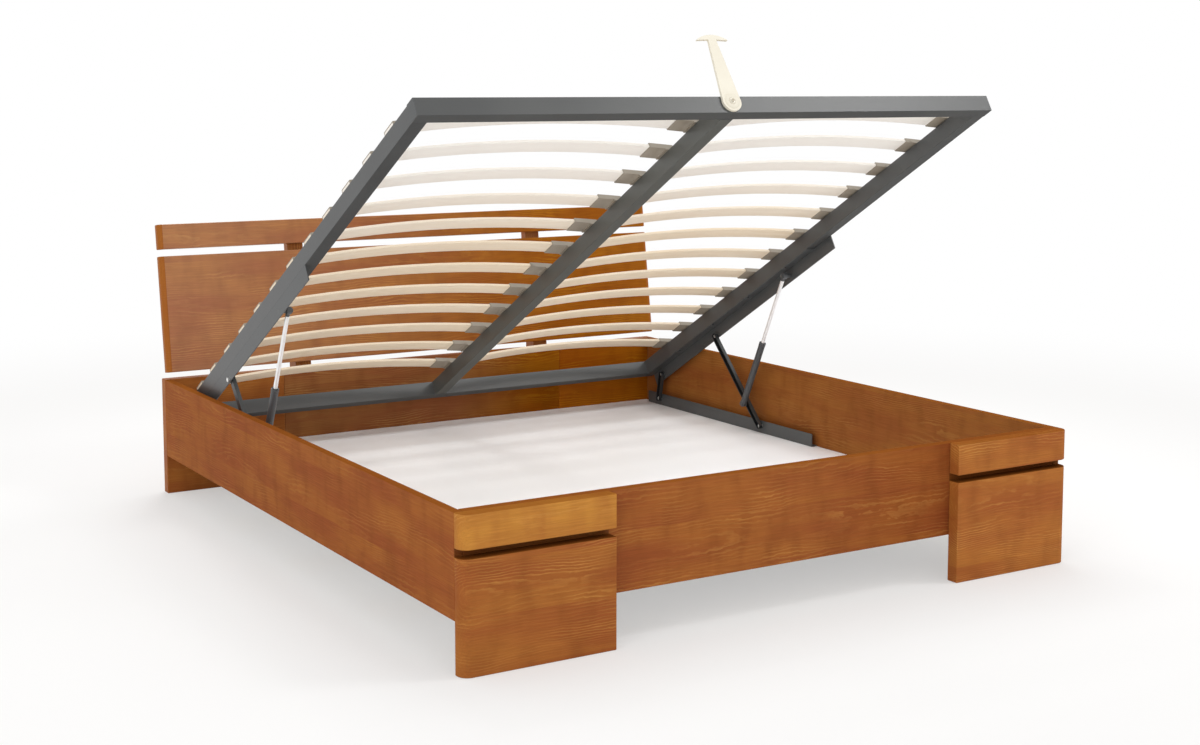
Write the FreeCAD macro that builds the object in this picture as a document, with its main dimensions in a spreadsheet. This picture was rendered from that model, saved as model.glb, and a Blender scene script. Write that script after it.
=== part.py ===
import FreeCAD, Part
import Sketcher
import math
import os

# Storage bed: pine box with a headboard and a slatted platform that lifts on links and gas struts.
# Millimetres. +X to the right, +Y to the head end, +Z up.
# The origin is on the floor under the middle of the bed's length and width.
# The platform is drawn open, as far as its struts push it.

doc = FreeCAD.newDocument("storage_bed")
sheet = doc.addObject("Spreadsheet::Sheet", "sizes")

DRIVING = (
    # bed box
    ("bed_width", 1860),
    ("bed_length", 2130),
    ("rail_top", 371),
    ("rail_underside", 123),
    ("side_rail_thickness", 22),
    ("foot_rail_thickness", 25),
    ("block_width", 402),
    ("block_thickness", 36),
    ("leg_block_height", 270),
    ("block_groove", 19),
    ("block_rounding", 28),
    ("head_thickness", 36.3),
    ("edge_softness", 2.5),
    # headboard
    ("headboard_inset", 4),
    ("headboard_tilt", 8.3),
    ("headboard_lift", 24.6),
    ("headboard_forward", 16),
    ("headboard_thickness", 30),
    ("headboard_rounding", 14),
    ("panel_height", 373),
    ("headboard_gap", 22.5),
    ("top_board_height", 80),
    ("post_width", 55),
    ("post_thickness", 30),
    ("post_inset", 475.5),
    ("post_top_margin", 12),
    ("post_tail", 190),
    # storage floor
    ("floor_top", 138),
    ("floor_thickness", 6),
    ("floor_clearance", 2),
    ("ledger_width", 24),
    ("ledger_height", 16),
    ("bearer_width", 60),
    ("bearer_count", 3),
    ("corner_block_width", 45),
    ("corner_block_height", 110),
    ("rest_batten_width", 42),
    ("rest_batten_height", 30),
    ("rest_batten_margin", 208),
    ("rest_gap", 0.5),
    # lift-up platform
    ("side_gap", 20),
    ("foot_gap", 16.7),
    ("head_gap", 6),
    ("beam_width", 38),
    ("end_beam_width", 36),
    ("beam_height", 47),
    ("beam_wall", 2),
    ("beam_corner", 0.6),
    ("cap_lip", 2),
    ("cap_depth", 12),
    ("open_tilt", 29.9),
    ("open_setback", 65.7),
    ("open_height", 236.5),
    ("closed_height", 270),
    # slats
    ("slat_count", 12),
    ("slat_width", 53),
    ("slat_thickness", 8),
    ("slat_bow", 28),
    ("slat_end_inset", 4),
    ("slat_half_gap", 6),
    ("slat_head_margin", 123),
    ("slat_foot_margin", 101),
    ("slat_seat", 2.6),
    ("holder_wall", 2.2),
    ("outer_holder_length", 65),
    ("centre_holder_length", 73),
    ("holder_foot_length", 24),
    # lift gear
    ("plate_thickness", 3),
    ("bracket_bolt_count", 4),
    ("bracket_drop", 44),
    ("bracket_start", 20),
    ("bracket_end", 1200),
    ("flange_setback", 90),
    ("bar_height", 42),
    ("bar_length", 976),
    ("bar_setback", 48),
    ("bar_screw_count", 3),
    ("pivot_height", 25),
    ("rear_pivot_along", 80),
    ("rear_pivot_drop", 25),
    ("front_pivot_along", 464),
    ("front_pivot_drop", 35),
    ("front_foot_setback", 749.7),
    ("groove_fit", 0.4),
    ("groove_depth", 2),
    ("link_width", 20),
    ("link_depth", 12),
    ("link_wall", 2.5),
    ("link_offset", 3),
    ("pin_radius", 5),
    ("pin_head_radius", 7),
    ("pin_head_height", 3.5),
    ("nut_height", 5),
    ("pin_fit", 0.08),
    ("running_gap", 0.3),
    # gas struts
    ("strut_along", 950),
    ("strut_drop", 25),
    ("strut_link_share", 0.25),
    ("strut_gap", 1),
    ("cylinder_radius", 11),
    ("cylinder_length", 245),
    ("cylinder_end", 16),
    ("rod_radius", 6),
    ("rod_engaged", 25),
    ("eye_radius", 11),
    ("eye_width", 14),
    # pull strap
    ("strap_pivot_height", 30),
    ("strap_end_radius", 28),
    ("strap_root_width", 56),
    ("strap_neck_width", 23),
    ("strap_length", 196),
    ("strap_head_width", 96),
    ("strap_head_rise", 14.5),
    ("strap_head_height", 14.5),
    ("strap_tip", 1.5),
    ("strap_thickness", 7),
    ("washer_radius", 9),
    ("washer_thickness", 1.5),
    # fasteners
    ("screw_radius", 3),
    ("screw_head_radius", 5.5),
    ("screw_head_height", 3),
    ("screw_grip", 14),
    ("bolt_radius", 4),
    ("bolt_head_radius", 7.5),
    ("bolt_head_height", 4),
    ("bolt_grip", 60),
    ("dowel_radius", 5),
    ("dowel_length", 60),
    ("screw_fit", 0.1),
    ("overrun", 5),
)


class Size:
    """A length, angle or share that keeps its spreadsheet formula beside its present value."""

    def __init__(self, formula, value):
        self.formula = formula
        self.value = value

    @staticmethod
    def of(number):
        if isinstance(number, Size):
            return number
        return Size(repr(number), number)

    def joined(self, sign, left, right, value):
        return Size("(" + left.formula + " " + sign + " " + right.formula + ")", value)

    def __add__(self, other):
        other = Size.of(other)
        return self.joined("+", self, other, self.value + other.value)

    def __radd__(self, other):
        return Size.of(other) + self

    def __sub__(self, other):
        other = Size.of(other)
        return self.joined("-", self, other, self.value - other.value)

    def __rsub__(self, other):
        return Size.of(other) - self

    def __mul__(self, other):
        other = Size.of(other)
        return self.joined("*", self, other, self.value * other.value)

    def __rmul__(self, other):
        return Size.of(other) * self

    def __truediv__(self, other):
        other = Size.of(other)
        return self.joined("/", self, other, self.value / other.value)

    def __rtruediv__(self, other):
        return Size.of(other) / self

    def __neg__(self):
        return Size("(-" + self.formula + ")", -self.value)


def cosine(angle):
    return Size("cos(" + angle.formula + ")", math.cos(math.radians(angle.value)))


def sine(angle):
    return Size("sin(" + angle.formula + ")", math.sin(math.radians(angle.value)))


def root(square):
    return Size("sqrt(" + square.formula + ")", math.sqrt(square.value))


class Sizes:
    """The spreadsheet's rows: driving numbers, and the places worked out from them."""

    def __init__(self):
        self.row = 0

    def write(self, alias, text, value):
        self.row += 1
        sheet.set("A%d" % self.row, alias)
        sheet.set("B%d" % self.row, text)
        sheet.setAlias("B%d" % self.row, alias)
        setattr(self, alias, Size("sizes." + alias, value))

    def derive(self, alias, size):
        self.write(alias, "=" + size.formula.replace("sizes.", ""), size.value)


s = Sizes()
for driving_name, driving_value in DRIVING:
    s.write(driving_name, str(driving_value), driving_value)

ZERO = Size("0", 0.0)


# Places of the bed box, measured along the bed
s.derive("lean_sine", sine(s.headboard_tilt))
s.derive("lean_cosine", cosine(s.headboard_tilt))
s.derive("headboard_height", s.panel_height + s.headboard_gap + s.top_board_height)
s.derive("post_rise", s.headboard_height - s.post_top_margin)
s.derive("post_depth", s.headboard_thickness + s.post_thickness)
s.derive("panel_setback", s.head_thickness + s.headboard_forward)
s.derive(
    "post_overhang",
    s.post_rise * s.lean_sine + s.post_depth * s.lean_cosine - s.panel_setback,
)
s.derive("foot_face", -(s.bed_length + s.post_overhang) / 2)
s.derive("head_back", s.foot_face + s.bed_length)
s.derive("head_front", s.head_back - s.head_thickness)
s.derive("rail_start", s.foot_face + s.block_thickness)
s.derive("rail_length", s.head_front - s.rail_start)
s.derive("box_foot", s.rail_start + s.foot_rail_thickness)
s.derive("box_length", s.head_front - s.box_foot)
s.derive("half_width", s.bed_width / 2)
s.derive("box_half_width", s.half_width - s.side_rail_thickness)
s.derive("rail_height", s.rail_top - s.rail_underside)
s.derive("headboard_width", s.bed_width - 2 * s.headboard_inset)
s.derive("post_spacing", s.bed_width - 2 * s.post_inset)
s.derive("rest_batten_length", 2 * (s.box_half_width - s.rest_batten_margin))
s.derive("floor_under", s.floor_top - s.floor_thickness)
s.derive("ledger_under", s.floor_under - s.ledger_height)
s.derive("ledger_inner", s.box_half_width - s.ledger_width)

# Places of the platform when open and when closed
s.derive("tilt_sine", sine(s.open_tilt))
s.derive("tilt_cosine", cosine(s.open_tilt))
s.derive("open_rear", s.head_front - s.open_setback)
s.derive("closed_rear", s.head_front - s.head_gap)
s.derive("half_platform", s.box_half_width - s.side_gap)
s.derive("platform_width", 2 * s.half_platform)
s.derive("platform_length", s.box_length - s.foot_gap - s.head_gap)
s.derive("beam_inner", s.half_platform - s.beam_width)
s.derive("side_beam_length", s.platform_length - 2 * s.end_beam_width)
s.derive("web_inner", s.half_platform - s.plate_thickness)
s.derive("link_outer", s.web_inner - s.link_offset)
s.derive("link_inner", s.link_outer - s.link_depth)
s.derive("strut_middle", s.link_inner - s.strut_gap - s.cylinder_radius)
s.derive("pivot_level", s.floor_top + s.pivot_height)


def open_point(along, drop):
    """A point of the open platform, along from its rear end and below its underside."""
    across = s.open_rear - along * s.tilt_cosine - drop * s.tilt_sine
    level = s.open_height + along * s.tilt_sine - drop * s.tilt_cosine
    return across, level


def link_reach(name):
    """Length and direction of a link, from its lower pivot to its open upper pivot."""
    reach_y = getattr(s, name + "_top_y") - getattr(s, name + "_foot_y")
    reach_z = getattr(s, name + "_top_z") - s.pivot_level
    s.derive(name + "_length", root(reach_y * reach_y + reach_z * reach_z))
    s.derive(name + "_cosine", reach_y / getattr(s, name + "_length"))
    s.derive(name + "_sine", reach_z / getattr(s, name + "_length"))


# Places of the rear link: its lower pivot is as far from its upper pivot open as closed
rear_open_y, rear_open_z = open_point(s.rear_pivot_along, s.rear_pivot_drop)
s.derive("rear_top_y", rear_open_y)
s.derive("rear_top_z", rear_open_z)
s.derive("rear_travel_y", s.closed_rear - s.rear_pivot_along - s.rear_top_y)
s.derive("rear_travel_z", s.closed_height - s.rear_pivot_drop - s.rear_top_z)
s.derive("rear_middle_y", s.rear_top_y + s.rear_travel_y / 2)
s.derive("rear_middle_z", s.rear_top_z + s.rear_travel_z / 2)
s.derive(
    "rear_foot_y",
    s.rear_middle_y + (s.rear_middle_z - s.pivot_level) * s.rear_travel_z / s.rear_travel_y,
)
link_reach("rear")

# Places of the front link: its top pin runs in a groove of the bracket as the platform closes
front_open_y, front_open_z = open_point(s.front_pivot_along, s.front_pivot_drop)
s.derive("front_top_y", front_open_y)
s.derive("front_top_z", front_open_z)
s.derive("front_foot_y", s.head_front - s.front_foot_setback)
link_reach("front")
s.derive("front_closed_rise", s.closed_height - s.front_pivot_drop - s.pivot_level)
s.derive(
    "front_closed_reach",
    root(s.front_length * s.front_length - s.front_closed_rise * s.front_closed_rise),
)
s.derive("groove_closed_along", s.closed_rear - s.front_foot_y - s.front_closed_reach)
s.derive("groove_length", s.front_pivot_along - s.groove_closed_along)
s.derive("groove_floor", s.web_inner + s.groove_depth)

# Places of the strut: its top on the bracket, its low end on the front link
strut_open_y, strut_open_z = open_point(s.strut_along, s.strut_drop)
s.derive("strut_top_y", strut_open_y)
s.derive("strut_top_z", strut_open_z)
s.derive("strut_low_y", s.front_foot_y + s.strut_link_share * (s.front_top_y - s.front_foot_y))
s.derive("strut_low_z", s.pivot_level + s.strut_link_share * (s.front_top_z - s.pivot_level))
s.derive("strut_run_y", s.strut_low_y - s.strut_top_y)
s.derive("strut_run_z", s.strut_low_z - s.strut_top_z)
s.derive("strut_length", root(s.strut_run_y * s.strut_run_y + s.strut_run_z * s.strut_run_z))
s.derive("strut_cosine", s.strut_run_y / s.strut_length)
s.derive("strut_sine", s.strut_run_z / s.strut_length)

# Places of the slats, in the platform's own directions
s.derive("slat_outer", s.half_platform - s.slat_end_inset)
s.derive("slat_inner", s.slat_half_gap / 2)
s.derive("slat_chord", s.slat_outer - s.slat_inner)
s.derive(
    "slat_radius",
    (s.slat_chord * s.slat_chord / 4 + s.slat_bow * s.slat_bow) / (2 * s.slat_bow),
)
s.derive("slat_row", s.side_beam_length - s.slat_head_margin - s.slat_foot_margin)
s.derive("slat_pitch", (s.slat_row - s.slat_width) / (s.slat_count - 1))
s.derive("slat_under", s.beam_height + s.slat_seat)
s.derive("first_slat", s.end_beam_width + s.slat_head_margin)
doc.recompute()


class Frame:
    """A tilted set of axes that shares X with the bed: y along the piece, z across it."""

    def __init__(self, y, z, turn_cosine, turn_sine):
        self.y = y
        self.z = z
        self.turn_cosine = turn_cosine
        self.turn_sine = turn_sine
        turn = math.degrees(math.atan2(turn_sine.value, turn_cosine.value))
        self.rotation = FreeCAD.Rotation(FreeCAD.Vector(-1, 0, 0), turn)

    def point(self, x, y, z):
        across = self.y + y * self.turn_cosine + z * self.turn_sine
        level = self.z - y * self.turn_sine + z * self.turn_cosine
        return x, across, level


BED = Frame(ZERO, ZERO, Size("1", 1.0), ZERO)
PLATFORM = Frame(s.open_rear, s.open_height, s.tilt_cosine, s.tilt_sine)
HEADBOARD = Frame(
    s.head_front - s.headboard_forward,
    s.rail_top + s.headboard_lift,
    s.lean_cosine,
    s.lean_sine,
)
LINKS = {
    "rear": Frame(s.rear_foot_y, s.pivot_level, s.rear_cosine, -s.rear_sine),
    "front": Frame(s.front_foot_y, s.pivot_level, s.front_cosine, -s.front_sine),
}
STRUT = Frame(s.strut_top_y, s.strut_top_z, s.strut_cosine, -s.strut_sine)
GROOVE = Frame(s.front_top_y, s.front_top_z, s.tilt_cosine, s.tilt_sine)

SIDES = ("left", "right")
TURNS = {
    "+x": FreeCAD.Rotation(FreeCAD.Vector(0, 1, 0), 90),
    "-x": FreeCAD.Rotation(FreeCAD.Vector(0, 1, 0), -90),
    "+y": FreeCAD.Rotation(FreeCAD.Vector(1, 0, 0), -90),
    "-y": FreeCAD.Rotation(FreeCAD.Vector(1, 0, 0), 90),
    "+z": FreeCAD.Rotation(),
    "-z": FreeCAD.Rotation(FreeCAD.Vector(1, 0, 0), 180),
}
nodes = []


def outward(side):
    return "+x" if side == "right" else "-x"


def at_side(side, distance):
    return distance if side == "right" else -distance


def low_x(side, inner, outer):
    """The lower X of a piece that lies between two distances from the middle."""
    return inner if side == "right" else -outer


def keep(item, label):
    """Marks an object as a finished sub-part under its own name."""
    item.Label = label
    nodes.append(item)
    return item


def place(item, frame, point, turn=FreeCAD.Rotation()):
    item.Placement = FreeCAD.Placement(FreeCAD.Vector(), frame.rotation.multiply(turn))
    for axis, size in zip("xyz", frame.point(*point)):
        item.setExpression("Placement.Base." + axis, size.formula)


def box(name, frame, corner, spans):
    item = doc.addObject("Part::Box", name)
    for side_name, span in zip(("Length", "Width", "Height"), spans):
        item.setExpression(side_name, span.formula)
    place(item, frame, corner)
    return item


def cylinder(name, frame, start, direction, radius, length):
    item = doc.addObject("Part::Cylinder", name)
    item.setExpression("Radius", radius.formula)
    item.setExpression("Height", length.formula)
    place(item, frame, start, TURNS[direction])
    return item


def hexagon(name, frame, start, direction, radius, length):
    """A six-sided bolt head or nut, radius being to its corners."""
    item = doc.addObject("Part::Prism", name)
    item.Polygon = 6
    item.setExpression("Circumradius", radius.formula)
    item.setExpression("Height", length.formula)
    place(item, frame, start, TURNS[direction])
    return item


def fuse(name, items):
    item = doc.addObject("Part::MultiFuse", name)
    item.Shapes = items
    return item


def group(name, items):
    item = doc.addObject("Part::Compound", name)
    item.Links = items
    return item


def cut(name, base, tools):
    item = doc.addObject("Part::Cut", name)
    item.Base = base
    item.Tool = tools[0] if len(tools) == 1 else group(name + "_tools", tools)
    return item


def origin_plane(body, role):
    return [feature for feature in body.Origin.OriginFeatures if feature.Role == role][0]


def outline(body, plane, points):
    """A closed sketch of straight lines through points that the spreadsheet drives."""
    sketch = body.newObject("Sketcher::SketchObject", body.Name + "_outline")
    sketch.AttachmentSupport = (origin_plane(body, plane), [""])
    sketch.MapMode = "FlatFace"
    corners = [FreeCAD.Vector(across.value, up.value, 0) for across, up in points]
    count = len(points)
    for number in range(count):
        sketch.addGeometry(Part.LineSegment(corners[number], corners[(number + 1) % count]))
    for number in range(count):
        sketch.addConstraint(Sketcher.Constraint("Coincident", number, 2, (number + 1) % count, 1))
    for number, (across, up) in enumerate(points):
        fix_point(sketch, number, 1, across, up)
    return sketch


def fix_point(sketch, line, end, across, up):
    for kind, size in (("DistanceX", across), ("DistanceY", up)):
        rule = sketch.addConstraint(Sketcher.Constraint(kind, -1, 1, line, end, size.value))
        sketch.setExpression("Constraints[%d]" % rule, size.formula)


def pad(body, sketch, length):
    item = body.newObject("PartDesign::Pad", body.Name + "_pad")
    item.Profile = sketch
    item.setExpression("Length", length.formula)
    sketch.Visibility = False
    return item


def rounded(body, base, edges, radius):
    item = body.newObject("PartDesign::Fillet", body.Name + "_round")
    item.Base = (base, edges)
    item.setExpression("Radius", radius.formula)
    return item


def upright_edges(shape, wanted):
    """Names of the edges along Z that stand on the wanted places in plan."""
    names = []
    for number, edge in enumerate(shape.Edges, 1):
        low, high = edge.Vertexes[0].Point, edge.Vertexes[-1].Point
        flat = FreeCAD.Vector(high.x - low.x, high.y - low.y, 0)
        for x, y in wanted:
            near = FreeCAD.Vector(low.x - x.value, low.y - y.value, 0)
            if flat.Length + near.Length < s.edge_softness.value:
                names.append("Edge%d" % number)
    return names


def board(name, frame, corner, spans, round_corners=(), rounding=None):
    """A wooden board with eased edges, and larger rounding on the upright corners named."""
    body = doc.addObject("PartDesign::Body", name)
    width, depth, height = spans
    plan = [(ZERO, ZERO), (width, ZERO), (width, depth), (ZERO, depth)]
    tip = pad(body, outline(body, "XY_Plane", plan), height)
    doc.recompute()
    if round_corners:
        tip = rounded(body, tip, upright_edges(tip.Shape, round_corners), rounding)
        doc.recompute()
    square = [edge for edge in plan if edge not in round_corners]
    edges = upright_edges(tip.Shape, square)
    for number, edge in enumerate(tip.Shape.Edges, 1):
        if edge.BoundBox.ZLength < s.edge_softness.value:
            edges.append("Edge%d" % number)
    rounded(body, tip, edges, s.edge_softness)
    place(body, frame, corner)
    return body


def profile_bar(name, frame, points, along, length):
    """A bar of constant section, drawn across the bed and run from along towards the foot."""
    body = doc.addObject("PartDesign::Body", name)
    pad(body, outline(body, "XZ_Plane", points), length)
    place(body, frame, (ZERO, -along, ZERO))
    return body


def rounded_bar(name, frame, corner, spans, run, radius):
    """A square bar along X or along the bed, with its four long corners rounded."""
    width, depth, height = spans
    body = doc.addObject("PartDesign::Body", name)
    if run == 0:
        section = [(ZERO, ZERO), (depth, ZERO), (depth, height), (ZERO, height)]
        bar = pad(body, outline(body, "YZ_Plane", section), width)
        place(body, frame, corner)
    else:
        section = [(ZERO, ZERO), (width, ZERO), (width, height), (ZERO, height)]
        bar = pad(body, outline(body, "XZ_Plane", section), depth)
        place(body, frame, (corner[0], corner[1] + depth, corner[2]))
    doc.recompute()
    long_edges = []
    for number, edge in enumerate(bar.Shape.Edges, 1):
        run_of_edge = edge.Vertexes[-1].Point - edge.Vertexes[0].Point
        if abs(run_of_edge[run]) > radius.value / 2:
            long_edges.append("Edge%d" % number)
    rounded(body, bar, long_edges, radius)
    return body


def fastener(name, frame, point, direction, head, shank, head_shape=cylinder):
    """A screw or bolt: point is under its head, direction is the way its shank goes."""
    back = {"+": "-", "-": "+"}[direction[0]] + direction[1]
    head_radius, head_height = head
    shank_radius, shank_length = shank
    return fuse(name, [
        head_shape(name + "_head", frame, point, back, head_radius, head_height),
        cylinder(name + "_shank", frame, point, direction, shank_radius, shank_length),
    ])


def hole(name, frame, point, direction, shank):
    """A hole round a fastener's shank, with its fit at the end as well."""
    radius, length = shank
    return cylinder(name, frame, point, direction, radius + s.screw_fit, length + s.screw_fit)


def stadium(name, frame, side, inner, outer, length, radius):
    """A bar with round ends, from the frame's origin to a point on its own length."""
    x = low_x(side, inner, outer)
    start = at_side(side, inner)
    way = outward(side)
    return fuse(name, [
        box(name + "_middle", frame, (x, ZERO, -radius), (outer - inner, length, 2 * radius)),
        cylinder(name + "_low", frame, (start, ZERO, ZERO), way, radius, outer - inner),
        cylinder(name + "_high", frame, (start, length, ZERO), way, radius, outer - inner),
    ])


SCREW_HEAD = (s.screw_head_radius, s.screw_head_height)
BOLT_HEAD = (s.bolt_head_radius, s.bolt_head_height)


# Bed box
def make_head_bolts():
    """Bolts from behind the head legs into the ends of the side rails."""
    bolts = []
    holes = {}
    shank = (s.bolt_radius, s.bolt_grip + s.head_thickness)
    for side in SIDES:
        x = at_side(side, s.half_width - s.side_rail_thickness / 2)
        holes[side] = []
        for order in (1, 2):
            z = s.rail_underside + order * s.rail_height / 3
            tag = "%s_%d" % (side, order)
            point = (x, s.head_back, z)
            bolts.append(fastener("head_bolt_" + tag, BED, point, "-y", BOLT_HEAD, shank))
            holes[side].append(hole("leg_hole_" + tag, BED, point, "-y", shank))
            holes[side].append(hole("rail_hole_" + tag, BED, point, "-y", shank))
    keep(group("head_bolts", bolts), "head_bolts")
    return holes


def make_side_rails(bolt_holes):
    for side in SIDES:
        x = low_x(side, s.box_half_width, s.half_width)
        spans = (s.side_rail_thickness, s.rail_length, s.rail_height)
        rail = board("side_rail_%s_board" % side, BED, (x, s.rail_start, s.rail_underside), spans)
        keep(cut("side_rail_" + side, rail, bolt_holes[side][1::2]), "side_rail_" + side)


def make_foot_end():
    """Foot rail with an upper block and a leg block on each corner, screwed on from inside."""
    shank = (s.screw_radius, s.foot_rail_thickness + s.screw_grip)
    screws = []
    rail_holes = []
    for side in SIDES:
        for part, low, high in (
            ("foot_leg", ZERO, s.leg_block_height),
            ("foot_upper_block", s.leg_block_height + s.block_groove, s.rail_top),
        ):
            holes = []
            bottom = s.rail_underside if part == "foot_leg" else low
            for order in (1, 2):
                x = at_side(side, s.half_width - order * s.block_width / 3)
                point = (x, s.box_foot, (bottom + high) / 2)
                tag = "%s_%s_%d" % (part, side, order)
                screws.append(fastener(tag + "_screw", BED, point, "-y", SCREW_HEAD, shank))
                holes.append(hole(tag + "_hole", BED, point, "-y", shank))
                rail_holes.append(hole(tag + "_rail_hole", BED, point, "-y", shank))
            x = low_x(side, s.half_width - s.block_width, s.half_width)
            outer = s.block_width if side == "right" else ZERO
            spans = (s.block_width, s.block_thickness, high - low)
            block = board(
                "%s_%s_board" % (part, side),
                BED,
                (x, s.foot_face, low),
                spans,
                [(outer, ZERO)],
                s.block_rounding,
            )
            keep(cut(part + "_" + side, block, holes), part + "_" + side)
    spans = (2 * s.box_half_width, s.foot_rail_thickness, s.rail_height)
    rail = board("foot_rail_board", BED, (-s.box_half_width, s.rail_start, s.rail_underside), spans)
    keep(cut("foot_rail", rail, rail_holes), "foot_rail")
    keep(group("foot_block_screws", screws), "foot_block_screws")


def make_head_end(bolt_holes):
    """Head rail between two head legs, joined by dowels."""
    dowels = []
    rail_holes = list(make_post_screws())
    y = s.head_back - s.head_thickness / 2
    inner = s.half_width - s.block_width
    dowel_start = inner - s.dowel_length / 2
    for side in SIDES:
        leg_holes = bolt_holes[side][0::2]
        for order in (1, 2):
            z = s.rail_underside + order * s.rail_height / 3
            point = (at_side(side, dowel_start), y, z)
            shank = (s.dowel_radius, s.dowel_length)
            tag = "%s_%d" % (side, order)
            way = outward(side)
            dowels.append(cylinder("dowel_" + tag, BED, point, way, *shank))
            sunk = (at_side(side, dowel_start - s.screw_fit), y, z)
            bore = (s.dowel_radius, s.dowel_length + s.screw_fit)
            leg_holes.append(hole("dowel_leg_" + tag, BED, sunk, way, bore))
            rail_holes.append(hole("dowel_rail_" + tag, BED, sunk, way, bore))
        x = low_x(side, inner, s.half_width)
        spans = (s.block_width, s.head_thickness, s.rail_top)
        leg = board("head_leg_%s_board" % side, BED, (x, s.head_front, ZERO), spans)
        keep(cut("head_leg_" + side, leg, leg_holes), "head_leg_" + side)
    spans = (2 * inner, s.head_thickness, s.rail_height)
    rail = board("head_rail_board", BED, (-inner, s.head_front, s.rail_underside), spans)
    keep(cut("head_rail", rail, rail_holes), "head_rail")
    keep(group("head_dowels", dowels), "head_dowels")


# Headboard
def post_outline():
    """Side view of a post: upright tail behind the head rail, then leaning behind the boards."""
    front = s.headboard_thickness
    back = s.post_depth
    tail_back = s.head_back + s.post_thickness
    notch_along = (s.rail_top - HEADBOARD.z + front * s.lean_sine) / s.lean_cosine
    notch = (HEADBOARD.y + notch_along * s.lean_sine + front * s.lean_cosine, s.rail_top)
    knee_along = (tail_back - HEADBOARD.y - back * s.lean_cosine) / s.lean_sine
    knee = (tail_back, HEADBOARD.z + knee_along * s.lean_cosine - back * s.lean_sine)
    tail = s.rail_top - s.post_tail
    return [
        (s.head_back, tail),
        (tail_back, tail),
        knee,
        HEADBOARD.point(ZERO, back, s.post_rise)[1:],
        HEADBOARD.point(ZERO, front, s.post_rise)[1:],
        notch,
        (s.head_back, s.rail_top),
    ]


def make_post_screws():
    """Screws from behind: two into the head rail, two into the panel, one into the top board."""
    tail_shank = (s.screw_radius, s.post_thickness + s.screw_grip)
    screws = []
    rail_holes = []
    post_holes = {}
    board_holes = {"headboard_panel": [], "headboard_top_board": []}
    top_board = s.panel_height + s.headboard_gap
    board_places = (
        ("headboard_panel", s.panel_height / 2),
        ("headboard_panel", s.panel_height - s.post_width),
        ("headboard_top_board", top_board + s.top_board_height / 2),
    )
    for side in SIDES:
        x = at_side(side, s.post_spacing / 2)
        post_holes[side] = []
        for order in (1, 2):
            z = s.rail_top - order * s.post_tail / 3
            point = (x, s.head_back + s.post_thickness, z)
            tag = "post_tail_%s_%d" % (side, order)
            screws.append(fastener(tag, BED, point, "-y", SCREW_HEAD, tail_shank))
            rail_holes.append(hole(tag + "_rail", BED, point, "-y", tail_shank))
            post_holes[side].append(hole(tag + "_post", BED, point, "-y", tail_shank))
        for order, (board_name, along) in enumerate(board_places):
            point = (x, s.post_depth, along)
            tag = "post_%s_%d" % (side, order)
            screws.append(fastener(tag, HEADBOARD, point, "-y", SCREW_HEAD, tail_shank))
            board_holes[board_name].append(hole(tag + "_board", HEADBOARD, point, "-y", tail_shank))
            post_holes[side].append(hole(tag + "_post", HEADBOARD, point, "-y", tail_shank))
    keep(group("headboard_screws", screws), "headboard_screws")
    make_headboard(board_holes, post_holes)
    return rail_holes


def make_headboard(board_holes, post_holes):
    half = s.headboard_width / 2
    corners = [(ZERO, ZERO), (s.headboard_width, ZERO)]
    top_board = s.panel_height + s.headboard_gap
    for name, start, height in (
        ("headboard_panel", ZERO, s.panel_height),
        ("headboard_top_board", top_board, s.top_board_height),
    ):
        spans = (s.headboard_width, s.headboard_thickness, height)
        corner = (-half, ZERO, start)
        item = board(name + "_board", HEADBOARD, corner, spans, corners, s.headboard_rounding)
        keep(cut(name, item, board_holes[name]), name)
    for side in SIDES:
        body = doc.addObject("PartDesign::Body", "headboard_post_%s_body" % side)
        pad(body, outline(body, "YZ_Plane", post_outline()), s.post_width)
        place(body, BED, (at_side(side, s.post_spacing / 2) - s.post_width / 2, ZERO, ZERO))
        keep(cut("headboard_post_" + side, body, post_holes[side]), "headboard_post_" + side)


# Storage floor
def bar_screw_points(side):
    """Places of the screws that hold a lower bar down to the floor and its ledger."""
    start = s.head_front - s.bar_setback
    x = at_side(side, (s.half_platform + s.box_half_width) / 2)
    level = s.floor_top + s.plate_thickness
    pitch = s.bar_length / (s.bar_screw_count + 1)
    count = int(s.bar_screw_count.value)
    return [(x, start - (order + 1) * pitch, level) for order in range(count)]


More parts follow.
